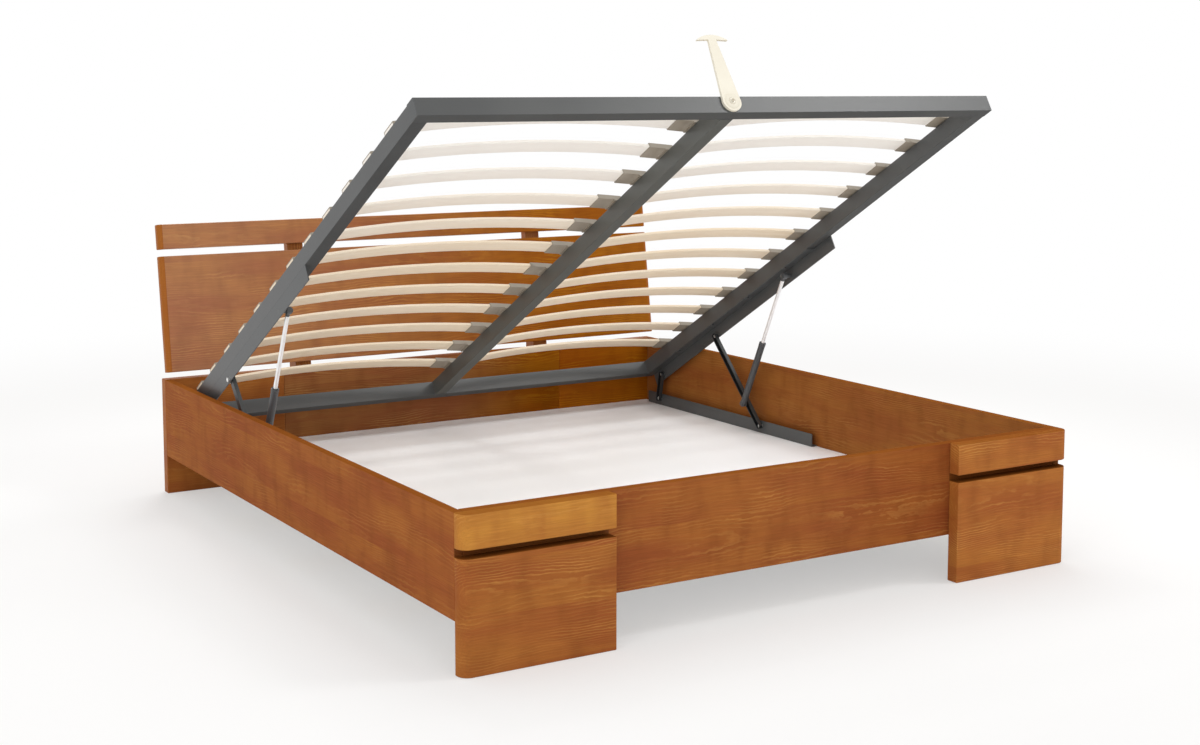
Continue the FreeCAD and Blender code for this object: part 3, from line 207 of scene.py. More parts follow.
def rings(finish, along, across, depth, seed):
    """Light lines of the year rings, with the random number of the stave they are in."""
    row = (across / STAVE + seed).math("FLOOR")
    stave = finish.chance(row + seed * 7.3)
    heart = finish.chance(row + seed * 3.1 + 40.5)
    wander = finish.noise(along * 2.4 + stave * 31.0, across * 9.0, depth * 9.0) - 0.5
    ripple = finish.noise(along * 38.0 + stave * 11.0, across * 90.0, depth * 90.0) - 0.5
    beside = across - (row - seed + 0.5) * STAVE + (stave - 0.5) * (STAVE * 1.2)
    behind = depth * 0.35 + heart * 0.05 + HEART_BEHIND
    radius = (beside * beside + behind * behind).math("SQRT")
    radius = radius + wander * WANDER + ripple * RIPPLE + along * 0.004
    ring = (radius / RING).math("FRACT")
    steep = (abs(beside) / radius).ease(0.05, 0.45) * 0.55 + 0.45
    return ring.ease(0.45, 0.84) * ring.ease(1.0, 0.86) * steep, stave


# %% [markdown]
# ### Painted highlight on the edges and painted shade in the groove
# The painted highlight on the edges comes from the board's own box: a point near two faces at once is
# near an edge. Of the three distances to the faces, the middle one says how near. The wood is painted
# lighter there, as if its rounded edges caught the light. The groove between the blocks of the foot is
# found by its
# place, and gets painted shade: a dark brown, since little light comes into it.

# %% Masks for edges and groove
def near_edge(local, half, reach):
    """1 on the edges of a box, fading to 0 at reach from them."""
    first, second, third = [size - abs(here) for here, size in zip(local, half)]
    smaller = first.math("MINIMUM", second)
    larger = first.math("MAXIMUM", second)
    middle = smaller.math("MAXIMUM", larger.math("MINIMUM", third))
    return middle.ease(reach, reach * 0.2)


GROOVE_MIDDLE = 0.2795
GROOVE_HALF = 0.0095
BLOCK_INNER = 0.528
RAIL_END = -1.066


def in_shaded_groove(finish):
    """1 in the groove between the blocks of the foot, where no light comes and painted shade darkens
    the wood.
    """
    x, y, z = finish.place()
    level = abs(z - GROOVE_MIDDLE).ease(GROOVE_HALF + 0.0016, GROOVE_HALF + 0.0002)
    behind_blocks = y.ease(RAIL_END + 0.0024, RAIL_END + 0.0004)
    return level * behind_blocks * abs(x).ease(BLOCK_INNER - 0.001, BLOCK_INNER + 0.001)


# %% [markdown]
# ### One board
# The headboard mirrors the bright room on its left and little on its right, where its own ochre shows.
# The lamps could be moved to do that, but they light the whole bed, so a painted reflection lightens
# its tones on the left and gives way to ochre towards the right, and its lacquer fades along with it.
# The head rail and the foot rail get painted shade that deepens to the right in the same way, and the
# right head leg gets it only on its face towards the box. Each row of the table has the deeper tone,
# the axis along which it sets in, and two places on that axis, measured from the board's middle: where
# the tone starts and where it is full.

# %% A stained board
EDGE_HIGHLIGHT_REACH = 0.004
BOARD_END = 0.016
TOP_SHADE_DEPTH = 0.002
BED_WIDTH = 0
BED_LENGTH = 1
OCHRE = (0.85, 0.68, 0.11, 1.0)
DEEP_OCHRE = (1.0, 0.84, 0.15, 1.0)
RUSSET = (0.84, 0.78, 0.86, 1.0)
PAINTED_FADES = {
    "headboard_panel": (OCHRE, BED_WIDTH, -0.85, 0.6),
    "headboard_top_board": (OCHRE, BED_WIDTH, -0.85, 0.6),
    "head_rail": (DEEP_OCHRE, BED_WIDTH, 0.05, 0.45),
    "foot_rail": (RUSSET, BED_WIDTH, 0.0, 0.5),
    "head_leg_right": (DEEP_OCHRE, BED_LENGTH, -0.0155, -0.0175),
}


def pine_board(name, grain, turn, seed, tones, gloss, lacquer, figure=1.0):
    """A finish for one board, with its grain along x, y or z."""
    dark, ground, red, light = tones
    finish = Finish(name + "_pine", Coat_Weight=lacquer, Coat_Roughness=0.3, Specular_IOR_Level=gloss)
    low, high = turned_box(name, turn)
    middle = (low + high) * 0.5
    local = finish.place(turn, tuple(-middle))
    x, y, z = local
    along, across, depth = {"x": (x, z, y), "y": (y, z, x), "z": (z, x, y)}[grain]
    light_rings, stave = rings(finish, along, across, depth, seed)
    fibre = finish.noise(along * 14.0, across * 380.0, depth * 380.0, 3.0)
    cloud = finish.noise(along * 2.6 + seed, across * 13.0 + stave * 9.0, depth * 13.0)
    curl = finish.noise(along * 17.0 + seed, across * 7.0, depth * 7.0)
    patch = finish.noise(along * 4.0 + seed * 5.0, across * 16.0, depth * 16.0)
    colour = finish.mix(cloud.ease(0.3, 0.7), red, ground)
    colour = finish.mix(curl.ease(0.4, 0.8) * 0.5 + stave * 0.12, colour, dark)
    lines = light_rings * (patch.ease(0.42, 0.76) * (0.42 * figure) + 0.06 * figure)
    colour = finish.mix(lines, colour, light)
    # Painted highlight: the wood is made lighter in patches along the edges, where light would catch
    # them.
    edge = near_edge(local, (high - low) * 0.5, EDGE_HIGHLIGHT_REACH) * patch.ease(0.45, 0.8) * 0.2
    colour = finish.mix(edge, colour, light)
    colour = finish.mix(1.0, colour, finish.grey(fibre * 0.46 + 0.78), "MULTIPLY")
    # Painted light along the board: the tone deepens between the two places, and the lacquer fades with
    # it.
    if name in PAINTED_FADES:
        deeper, axis, fade_start, fade_end = PAINTED_FADES[name]
        lit_share = local[axis].ease(fade_end, fade_start)
        colour = finish.mix(1.0 - lit_share, colour, deeper, "MULTIPLY")
        lacquer = lit_share * lacquer
        finish.feed(finish.shader.inputs["Coat Weight"], lacquer)
    # Painted shade on the tops of these boards: they are darkened against the light from above, and
    # lose their lacquer there.
    if name.startswith(("foot_", "side_rail")):
        top_shade = z.ease(high.z - TOP_SHADE_DEPTH - middle.z, high.z - TOP_SHADE_DEPTH * 0.4 - middle.z)
        colour = finish.mix(top_shade * 0.65, colour, PINE_TOP_SHADE)
        finish.feed(finish.shader.inputs["Coat Weight"], (1.0 - top_shade) * lacquer)
        # Painted shade in the groove between the blocks of the foot.
        colour = finish.mix(in_shaded_groove(finish) * 0.6, colour, GROOVE_SHADE)
    if name.startswith("headboard") and grain == "x":
        half = (high.x - low.x) * 0.5
        end = abs(x).ease(half - BOARD_END, half - BOARD_END * 0.9)
        # A thin dark line where the rounding of the end begins.
        end_line = end * abs(x).ease(half - BOARD_END * 0.75, half - BOARD_END * 0.9)
        colour = finish.mix(end * 0.75, colour, PINE_END)
        colour = finish.mix(end_line * 0.4, colour, dark)
        finish.feed(finish.shader.inputs["Coat Weight"], (1.0 - end) * lacquer)
    roughness = fibre * 0.16 + cloud * 0.1 + 0.28
    return finish.wear(colour, roughness, fibre * 0.7 + light_rings * 0.3, 0.0005, 0.5)


# %% [markdown]
# ### Tones of the boards
# No two boards take stain alike, and the light falls on each in its own way. So there are several sets
# of tones: for the dark, the ground, the red and the light of the wood. A row names the grain's
# direction, the board's lean, its tones, its gloss, its lacquer and, where it isn't full, the strength
# of its figure.

# %% Boards of the bed
STAINED = (PINE_DARK, PINE_GROUND, PINE_RED, PINE_LIGHT)
GOLDEN = (shade(155, 90, 42), PINE_GOLD, shade(170, 109, 48), PINE_LIGHT)
RAIL = (shade(125, 67, 30), shade(157, 93, 42), shade(143, 76, 38), shade(198, 140, 72))
HEADBOARD = (shade(136, 83, 50), shade(170, 113, 65), shade(156, 95, 60), shade(212, 160, 95))
INNER = (shade(122, 71, 32), shade(154, 97, 45), shade(141, 81, 40), shade(196, 145, 76))
SHADED = (shade(122, 72, 40), shade(154, 100, 55), shade(141, 82, 48), shade(194, 148, 88))
BLOCK = (shade(136, 76, 34), shade(170, 105, 47), shade(156, 87, 42), shade(212, 154, 80))
LEAN = math.radians(8.3)
FIRST_SEED = 0.37
SEED_STEP = 1.73
BOARDS = {
    "side_rail_left": ("y", 0.0, RAIL, 0.0, 0.1, 0.55),
    "side_rail_right": ("y", 0.0, INNER, 0.0, 0.1, 0.55),
    "foot_rail": ("x", 0.0, RAIL, 0.0, 0.15),
    "foot_upper_block_left": ("x", 0.0, GOLDEN, 0.0, 0.15),
    "foot_upper_block_right": ("x", 0.0, BLOCK, 0.0, 0.15),
    "foot_leg_left": ("x", 0.0, STAINED, 0.0, 0.15),
    "foot_leg_right": ("x", 0.0, BLOCK, 0.0, 0.15),
    "head_rail": ("x", 0.0, SHADED, 0.0, 0.1),
    "head_leg_left": ("x", 0.0, STAINED, 0.05, 0.0),
    "head_leg_right": ("x", 0.0, STAINED, 0.05, 0.0),
    "headboard_panel": ("x", LEAN, HEADBOARD, 0.05, 1.0),
    "headboard_top_board": ("x", LEAN, HEADBOARD, 0.05, 1.0),
    "headboard_post_left": ("z", LEAN, STAINED, 0.1, 0.1),
    "headboard_post_right": ("z", LEAN, STAINED, 0.1, 0.1),
}
for number, (name, (grain, turn, *finish_of_board)) in enumerate(BOARDS.items()):
    seed = FIRST_SEED + SEED_STEP * number
    dress([name], pine_board(name, grain, turn, seed, *finish_of_board))
print("stained boards:", len(BOARDS))

# %% [markdown]
# ## Bare pine
# Ledgers, bearers, corner blocks and the batten are out of sight on the real bed, so they are only
# planed. The same rings serve, with pale wood and darker lines, and without lacquer.

# %% Bare boards
BARE = (shade(214, 180, 128), shade(226, 196, 146), shade(218, 178, 124), shade(190, 140, 82))
BARE_SEED = 5.19
BARE_STEP = 2.41
BARE_BOARDS = {
    "floor_ledger_left": "y",
    "floor_ledger_right": "y",
    "floor_ledger_foot": "x",
    "floor_ledger_head": "x",
    "floor_bearers": "x",
    "foot_corner_blocks": "z",
    "platform_rest_batten": "x",
    "head_dowels": "x",
}
for number, (name, grain) in enumerate(BARE_BOARDS.items()):
    seed = BARE_SEED + BARE_STEP * number
    dress([name], pine_board(name, grain, 0.0, seed, BARE, 0.1, 0.0))
print("bare boards:", len(BARE_BOARDS))

# %% [markdown]
# ## White storage floor
# The floor of the box is thin board with a white lacquer. White needs almost nothing: a trace of warm
# cloud, the fine pebbling that a roller leaves, and a little less shine where things have been pushed
# over it.

# %% White lacquer
def white_lacquer():
    finish = Finish("white_lacquer", Specular_IOR_Level=0.3)
    x, y, z = finish.place()
    cloud = finish.noise(x * 1.7, y * 1.7, z * 1.7)
    pebble = finish.noise(x * 260.0, y * 260.0, z * 260.0)
    rubbed = finish.noise(x * 26.0, y * 1.5, z * 9.0, 3.0)
    colour = finish.mix(cloud.ease(0.3, 0.7), shade(247, 247, 247), shade(251, 251, 252))
    roughness = rubbed * 0.22 + pebble * 0.06 + 0.3
    return finish.wear(colour, roughness, pebble, 0.0002, 0.4)


dress(["storage_floor"], white_lacquer())
print("lacquered white: storage_floor")

# %% [markdown]
# ## Powder-coated steel
# The platform's tubes, the brackets and the links are dark grey steel. Powder coat melts into a skin
# with a fine orange-peel surface and a dull shine, so the bump does more here than the colour does. The
# undersides of the tubes look duller, as if the coat lay thin there, so they are rougher. The left
# beam, its bracket and the centre beam have tones of their own, because these lamps light them unlike
# the photographed ones.

# %% Powder coat
TILT = math.radians(29.9)
HINGE_END = Vector((0.0, 0.92601, 0.2365))
PLATFORM_SHIFT = tuple(-(Matrix.Rotation(TILT, 3, "X") @ HINGE_END))
REAR_FOOT = (0.861248, 0.163)
REAR_TOP = (0.844196, 0.254707)
FRONT_FOOT = (0.24201, 0.163)
FRONT_TOP = (0.506323, 0.437457)
UNDERSIDE = 0.0005
UNDER_ROUGHER = 0.5
CHANNEL_HALF = 0.0075
LINK_OUTER = 0.882
CHANNEL_SHADE = shade(34, 35, 36)


def in_channel(x, y, z, foot, top):
    """1 inside a link's channel, which runs along the line between its two pivots."""
    way = (Vector(top) - Vector(foot)).normalized()
    off_line = (y - foot[0]) * way.y - (z - foot[1]) * way.x
    inside = abs(off_line).ease(CHANNEL_HALF + 0.0006, CHANNEL_HALF + 0.0001)
    return inside * abs(x).ease(LINK_OUTER - 0.0005, LINK_OUTER - 0.0015)


def powder_coat(name, tone, deeper, channel=None, dull_under=False):
    finish = Finish(name, Specular_IOR_Level=0.42)
    x, y, z = finish.place()
    peel = finish.noise(x * 300.0, y * 300.0, z * 300.0)
    speck = finish.noise(x * 1500.0, y * 1500.0, z * 1500.0, 1.0)
    cloud = finish.noise(x * 4.0, y * 4.0, z * 4.0)
    colour = finish.mix(cloud.ease(0.25, 0.75), deeper, tone)
    if channel:
        # Painted shade: the inside of a link's channel is made almost black, as a hollow that little
        # light reaches.
        colour = finish.mix(in_channel(x, y, z, *channel), colour, CHANNEL_SHADE)
    colour = finish.mix(1.0, colour, finish.grey(speck * 0.24 + 0.88), "MULTIPLY")
    roughness = peel * 0.12 + cloud * 0.06 + 0.26
    if dull_under:
        under = finish.place(TILT, PLATFORM_SHIFT)[2].ease(UNDERSIDE, UNDERSIDE * 0.2)
        roughness = roughness + under * UNDER_ROUGHER
    return finish.wear(colour, roughness, peel + speck * 0.25, 0.0003, 0.4)


TUBES = ["side_beam_left", "side_beam_right", "foot_beam", "head_beam", "centre_beam"]
GEAR = ["upper_bracket_left", "upper_bracket_right", "lower_bar_left", "lower_bar_right"]
LINKS = {"rear_link": (REAR_FOOT, REAR_TOP), "front_link": (FRONT_FOOT, FRONT_TOP)}
CYLINDERS = ["strut_cylinder_left", "strut_cylinder_right"]
GEAR_TONES = (shade(80, 82, 82), shade(73, 75, 76))
LINK_TONES = (shade(62, 64, 64), shade(54, 56, 57))
tube_coat = powder_coat("tube_coat", shade(79, 80, 79), shade(72, 73, 73), dull_under=True)
gear_coat = powder_coat("gear_coat", *GEAR_TONES)
strut_paint = powder_coat("strut_paint", shade(78, 80, 82), shade(70, 72, 74))
left_coat = powder_coat("left_coat", shade(73, 74, 74), shade(66, 67, 67), dull_under=True)
centre_coat = powder_coat("centre_coat", shade(90, 91, 87), shade(83, 84, 80), dull_under=True)
bracket_coat = powder_coat("bracket_coat", shade(70, 72, 72), shade(63, 65, 66))
dress(TUBES, tube_coat)
dress(["side_beam_left"], left_coat)
dress(["centre_beam"], centre_coat)
dress(GEAR + ["bracket_bolts", "strut_studs"], gear_coat)
dress(["upper_bracket_left"], bracket_coat)
dress(CYLINDERS, strut_paint)
for link, pivots in LINKS.items():
    dress([link + "_left", link + "_right"], powder_coat(link + "_coat", *LINK_TONES, pivots))
print("steel pieces:", len(TUBES + GEAR + CYLINDERS) + 2 * len(LINKS))

# %% [markdown]
# ## Birch slats
# A slat is a bow of thin birch layers glued together. Its upper face is painted a deeper birch tone, a
# painted shade that keeps it from glaring under the light from above, and its lower face is paler
# towards the foot of the bed. Both have fine streaks along the slat, and the edges show the layers as
# thin brown lines. The layers follow the bow, so the finish works out how far a point is above the
# slat's lower face.
# On the faces that number is constant, and the lines appear only where an edge cuts across the layers.

# %% Layered birch
SLAT_MIDDLE = 0.4435
SLAT_CHORD = 0.881
SLAT_BOW = 0.028
SLAT_SEAT = 0.0496
SLAT_THICKNESS = 0.008
SLAT_WIDTH = 0.053
SLAT_PITCH = 0.151
FIRST_SLAT = 0.159
LAYERS = 5


def layered_birch():
    finish = Finish("layered_birch", Specular_IOR_Level=0.3)
    x, y, z = finish.place(TILT, PLATFORM_SHIFT)
    bend = (SLAT_CHORD ** 2 / 4 + SLAT_BOW ** 2) / (2 * SLAT_BOW)
    out = abs(x) - SLAT_MIDDLE
    arch = (bend ** 2 - out * out).math("SQRT") - (bend - SLAT_BOW)
    level = (z - arch - SLAT_SEAT) / SLAT_THICKNESS
    layer = (level * LAYERS).math("FRACT")
    glue = layer.ease(0.72, 1.0) * level.ease(0.04, 0.1) * level.ease(0.96, 0.9)
    between = FIRST_SLAT + (SLAT_PITCH + SLAT_WIDTH) / 2
    row = ((y + between) / SLAT_PITCH).math("FLOOR")
    side = x.math("SIGN")
    slat = finish.chance(row + side * 13.5)
    streak = finish.noise(x * 5.0 + slat * 20.0, y * 170.0, z * 40.0, 3.0)
    fibre = finish.noise(x * 40.0, y * 900.0, z * 300.0, 2.0)
    colour = finish.mix(streak.ease(0.3, 0.7), shade(240, 222, 195), shade(245, 231, 209))
    colour = finish.mix(slat * 0.35, colour, shade(241, 221, 189))
    paler_to_foot = (y * -1.0).ease(1.05, 1.65) * 0.9
    colour = finish.mix(paler_to_foot, colour, shade(253, 250, 244))
    # Painted shade: the top of the slat gets a deeper tone than the rest.
    shaded_top = finish.mix(streak.ease(0.3, 0.7), shade(188, 164, 130), shade(205, 184, 153))
    shaded_top = finish.mix(slat * 0.4, shaded_top, shade(196, 170, 132))
    colour = finish.mix(level.ease(0.9, 0.97), colour, shaded_top)
    colour = finish.mix(glue * 0.75, colour, shade(178, 140, 98))
    colour = finish.mix(1.0, colour, finish.grey(fibre * 0.1 + 0.95), "MULTIPLY")
    roughness = streak * 0.14 + 0.38
    return finish.wear(colour, roughness, streak * 0.6 + fibre * 0.4, 0.0003, 0.35)


SLATS = ["slats_left", "slats_right"]
dress(SLATS, layered_birch())
print("rows of slats:", len(SLATS))

# %% [markdown]
# ## Moulded plastic
# The holders at the slats' ends, the plugs of the tubes and the pull strap are moulded, and the head of
# the strap's screw is capped to go with it. Plastic has even colour, a faint grain from the mould, and
# shine that varies a little where it flowed.

# %% Plastic
def moulded(name, tone, shaded, grain_size, gloss):
    finish = Finish(name, Specular_IOR_Level=0.4)
    x, y, z = finish.place()
    count = 1.0 / grain_size
    grain = finish.noise(x * count, y * count, z * count)
    flow = finish.noise(x * 14.0, y * 14.0, z * 14.0)
    colour = finish.mix(flow.ease(0.25, 0.75), shaded, tone)
    roughness = flow * 0.14 + grain * 0.08 + gloss
    return finish.wear(colour, roughness, grain, 0.00025, 0.4)


holder_plastic = moulded("holder_plastic", shade(158, 148, 133), shade(146, 136, 121), 0.0016, 0.36)
cap_plastic = moulded("cap_plastic", shade(80, 82, 82), shade(74, 76, 77), 0.0012, 0.34)
strap_plastic = moulded("strap_plastic", shade(235, 229, 212), shade(228, 221, 203), 0.0014, 0.34)
screw_plastic = moulded("screw_plastic", shade(206, 196, 176), shade(196, 186, 166), 0.0014, 0.4)
HOLDERS = ["slat_holders_outer", "slat_holders_centre"]
STRAP = ["pull_strap", "strap_washer"]
dress(HOLDERS, holder_plastic)
dress(["beam_end_caps"], cap_plastic)
dress(STRAP, strap_plastic)
print("plastic pieces:", len(HOLDERS) + len(STRAP) + 1)

# %% [markdown]
# ## Bright metal
# Screws, pins and studs are zinc plated, with the cloudy spangle that plating leaves. The struts' rods
# are ground and chromed, so they carry only fine rings round their length and reflect the room.

# %% Zinc and chrome
def zinc_plate():
    finish = Finish("zinc_plate", Metallic=1.0)
    x, y, z = finish.place()
    spangle = finish.noise(x * 900.0, y * 900.0, z * 900.0)
    cloud = finish.noise(x * 160.0, y * 160.0, z * 160.0)
    colour = finish.mix(cloud.ease(0.3, 0.7), shade(232, 232, 230), shade(248, 248, 246))
    roughness = spangle * 0.12 + cloud * 0.1 + 0.28
    return finish.wear(colour, roughness, spangle, 0.0001, 0.4)


STRUT_TURN = math.radians(64.477)
STRUT_TOP = (0.089996, 0.688391)
ROD_FITTING = 0.018


def chrome():
    finish = Finish("rod_chrome")
    start = Matrix.Rotation(STRUT_TURN, 3, "X") @ Vector((0.0,) + STRUT_TOP)
    x, y, z = finish.place(STRUT_TURN, tuple(-start))
    ground = finish.noise(x * 60.0, y * 700.0, z * 60.0, 1.0)
    haze = finish.noise(x * 30.0, y * 30.0, z * 30.0)
    bare = y.ease(ROD_FITTING - 0.001, ROD_FITTING)
    colour = finish.mix(haze.ease(0.3, 0.7), shade(244, 245, 246), shade(252, 252, 252))
    colour = finish.mix(bare, shade(82, 84, 86), colour)
    finish.feed(finish.shader.inputs["Metallic"], bare * 0.8)
    roughness = ground * 0.06 + haze * 0.04 + 0.42
    return finish.wear(colour, roughness, ground, 0.00002, 0.1)


SCREWS = ["head_bolts", "foot_block_screws", "headboard_screws", "lower_bar_screws"]
PINS = ["lower_pivot_pins", "upper_pivot_pins", "strap_screw"]
zinc = zinc_plate()
dress(SCREWS + PINS, zinc)
dress(["strut_rod_left", "strut_rod_right"], chrome())
undressed = [name for name, solid in solids.items() if len(solid.data.materials) != 1]
print("bright pieces:", len(SCREWS + PINS) + 2, "undressed:", undressed)

# %% [markdown]
# ## Softened edges
# No made edge is perfectly sharp: sanded birch, folded plate and moulded plastic all catch a thin line
# of light. The solids' triangles are loose, so a Weld modifier joins them before a Bevel rounds the
# edges. Both stay live, and the solids' own meshes are left as they came.

# %% Weld and bevel
WELD_REACH = 0.00002
SHARP_FROM = math.radians(40.0)
SLAT_ROUND = 0.0014
PLATE_ROUND = 0.0003
PLASTIC_ROUND = 0.0004


def soften(names, width, segments):
    for name in names:
        weld = solids[name].modifiers.new("join", "WELD")
        weld.merge_threshold = WELD_REACH
        bevel = solids[name].modifiers.new("soften", "BEVEL")
        bevel.width = width
        bevel.segments = segments
        bevel.limit_method = "ANGLE"
        bevel.angle_limit = SHARP_FROM
        bevel.harden_normals = True
    return len(names)


softened = soften(SLATS, SLAT_ROUND, 3)
softened += soften(GEAR, PLATE_ROUND, 2)
softened += soften(HOLDERS, PLASTIC_ROUND, 1)
print("softened pieces:", softened)

# %% [markdown]
# ## Star-headed screws
# The screws and pins of the lift gear have round heads with a star-shaped recess. A recess could be cut
# with a boolean, which leaves untidy faces. Here a disc is raised and rounded, its top is inset, the
# inset ring is pushed in and out six times round, and what remains is pressed down.

# %% Star heads
HEAD_SIDES = 24
HEAD_HEIGHT = 0.0012
RIM_SHARE = 0.6
INSET_SHARE = 0.36
STAR_POINTS = 6.0
STAR_SWELL = 0.2
RECESS_SHARE = 0.6


def star_head(mesh, radius, height):
    """Adds one head to the mesh at the origin, facing +Z, and returns the mesh."""
    start = bmesh.ops.create_circle(mesh, segments=HEAD_SIDES, radius=radius, cap_ends=True)["verts"]
    base = start[0].link_faces[0]
    if base.normal.z < 0:
        base.normal_flip()
    raised = bmesh.ops.extrude_face_region(mesh, geom=[base])["geom"]
    top_verts = [item for item in raised if isinstance(item, bmesh.types.BMVert)]
    bmesh.ops.translate(mesh, verts=top_verts, vec=(0.0, 0.0, height))
    top = [item for item in raised if isinstance(item, bmesh.types.BMFace)][0]
    rim = list(top.edges)
    bmesh.ops.bevel(
        mesh,
        geom=rim,
        offset=height * RIM_SHARE,
        segments=3,
        profile=0.5,
        affect="EDGES",
        material=-1,
    )
    top = max(mesh.faces, key=lambda face: (round(face.calc_center_median().z, 7), face.calc_area()))
    bmesh.ops.inset_region(mesh, faces=[top], thickness=radius * INSET_SHARE, use_even_offset=True)
    for vertex in top.verts:
        angle = math.atan2(vertex.co.y, vertex.co.x)
        reach = 1.0 + STAR_SWELL * math.cos(STAR_POINTS * angle)
        vertex.co.x *= reach
        vertex.co.y *= reach
    pressed = bmesh.ops.extrude_face_region(mesh, geom=[top])["geom"]
    floor_verts = [item for item in pressed if isinstance(item, bmesh.types.BMVert)]
    bmesh.ops.translate(mesh, verts=floor_verts, vec=(0.0, 0.0, -height * RECESS_SHARE))
    bmesh.ops.delete(mesh, geom=[top], context="FACES_ONLY")
    return mesh


def keep_piece(name, mesh, body, material):
    """Turns a bmesh into a finished piece at the origin that rides on a body."""
    bmesh.ops.remove_doubles(mesh, verts=mesh.verts, dist=1e-6)
    bmesh.ops.recalc_face_normals(mesh, faces=mesh.faces)
    data = bpy.data.meshes.new(name)
    mesh.to_mesh(data)
    mesh.free()
    data.set_sharp_from_angle(angle=math.radians(35.0))
    data.materials.append(material)
    piece = bpy.data.objects.new(name, data)
    bpy.context.scene.collection.objects.link(piece)
    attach(piece, body)
    print(name, len(data.polygons), "faces on", body)
    return piece


def facing(direction):
    """A turn that takes +Z to the direction."""
    return Vector(direction).to_track_quat("Z", "Y").to_matrix().to_4x4()


def star_heads(name, body, places, direction, radius, metal=zinc, slot="zinc"):
    """One piece with a head at each place."""
    whole = bmesh.new()
    for place in places:
        one = star_head(bmesh.new(), radius, HEAD_HEIGHT)
        one.transform(Matrix.Translation(place) @ facing(direction))
        part = bpy.data.meshes.new("one_head")
        one.to_mesh(part)
        one.free()
        whole.from_mesh(part)
        bpy.data.meshes.remove(part)
    return keep_piece(name, whole, body, metal)


# %% [markdown]
# The places of the heads repeat the part's own sizes, in metres. Those on the platform and the
# headboard are given in the leaning axes of what carries them and are turned into place.

# %% Heads on the bed box
def mirrored(points):
    """The same points on the left and on the right."""
    return [Vector((side * x, y, z)) for side in (-1.0, 1.0) for x, y, z in points]


SCREW_HEAD = 0.005
BOLT_HEAD = 0.007
PIN_HEAD = 0.0064
STRAP_HEAD = 0.0051
HEADBOARD_TURN = Matrix.Translation((0.0, 0.97571, 0.3956)) @ Matrix.Rotation(-LEAN, 4, "X")
PLATFORM = Matrix.Translation(HINGE_END) @ Matrix.Rotation(-TILT, 4, "X")
BAR_SCREWS = [(0.898, along, 0.144) for along in (0.69971, 0.45571, 0.21171)]
BLOCK_SCREWS = [(x, -1.03799, z) for x in (0.796, 0.662) for z in (0.1965, 0.330)]
POST_SCREWS = [(0.4545, 1.06101, z) for z in (0.30767, 0.24433)]
BOARD_SCREWS = [HEADBOARD_TURN @ Vector((0.4545, 0.063, z)) for z in (0.1865, 0.318, 0.4355)]
LEG_BOLTS = [(0.919, 1.03201, z) for z in (0.20567, 0.28833)]
headboard_back = HEADBOARD_TURN.to_3x3() @ Vector((0.0, 1.0, 0.0))
star_heads("lower_bar_screw_heads", "bed_box", mirrored(BAR_SCREWS), (0, 0, 1), SCREW_HEAD)
star_heads("foot_block_screw_heads", "bed_box", mirrored(BLOCK_SCREWS), (0, 1, 0), SCREW_HEAD)
star_heads("post_screw_heads", "bed_box", mirrored(POST_SCREWS), (0, 1, 0), SCREW_HEAD)
star_heads("board_screw_heads", "bed_box", mirrored(BOARD_SCREWS), headboard_back, SCREW_HEAD)
star_heads("head_bolt_heads", "bed_box", mirrored(LEG_BOLTS), (0, 1, 0), BOLT_HEAD)

# %% Heads on the lift gear
STRUT_FOOT = (0.308088, 0.231614)
PIN_FACE = 0.8757
STUD_FACE = 0.876
STRUT_TOP_FACE = 0.8472
STRUT_FOOT_FACE = 0.8475
STRAP_LEVEL = 0.03
STRAP_FACE = -2.0215
PAINTED = (PIN_HEAD, gear_coat, "grey_steel")
for side, sign in (("left", -1.0), ("right", 1.0)):
    inwards = (-sign, 0.0, 0.0)
    pin = sign * PIN_FACE
    stud = sign * STUD_FACE
    lower = [Vector((pin,) + REAR_FOOT), Vector((pin,) + FRONT_FOOT)]
    upper = [Vector((pin,) + REAR_TOP)]
    star_heads("lower_pin_heads_" + side, "bed_box", lower, inwards, PIN_HEAD)
    star_heads("upper_pin_head_" + side, "platform", upper, inwards, PIN_HEAD)
    link = [Vector((stud,) + FRONT_TOP)]
    star_heads("link_stud_head_" + side, "front_link_" + side, link, inwards, PIN_HEAD)
    top = [Vector((sign * STRUT_TOP_FACE,) + STRUT_TOP)]
    foot = [Vector((sign * STRUT_FOOT_FACE,) + STRUT_FOOT)]
    star_heads("strut_top_head_" + side, "platform", top, inwards, *PAINTED)
    star_heads("strut_foot_head_" + side, "strut_cylinder_" + side, foot, inwards, *PAINTED)
strap_head = [PLATFORM @ Vector((0.0, STRAP_FACE, STRAP_LEVEL))]
strap_way = PLATFORM.to_3x3() @ Vector((0.0, -1.0, 0.0))
capped = (STRAP_HEAD, screw_plastic, "strap_plastic")
star_heads("strap_screw_head", "platform", strap_head, strap_way, *capped)

# %% [markdown]
# ## Strut glands
# A gas strut ends in a gland, a pressed collar with a rubber wiper that keeps the rod clean. Both are
# round about the strut, so a small outline of each is spun through a full turn and then laid along the
# strut's line.

# %% Spun collars
def spun(outline, axis_matrix, steps=40):
    """A closed ring: an outline of (radius, height) points turned about Z, then placed."""
    mesh = bmesh.new()
    verts = [mesh.verts.new((radius, 0.0, height)) for radius, height in outline]
    edges = [mesh.edges.new((verts[k], verts[(k + 1) % len(verts)])) for k in range(len(verts))]
    bmesh.ops.spin(
        mesh,
        geom=verts + edges,
        cent=(0.0, 0.0, 0.0),
        axis=(0.0, 0.0, 1.0),
        dvec=(0.0, 0.0, 0.0),
        angle=2.0 * math.pi,
        steps=steps,
        use_merge=True,
        use_duplicate=False,
    )
    mesh.transform(axis_matrix)
    return mesh


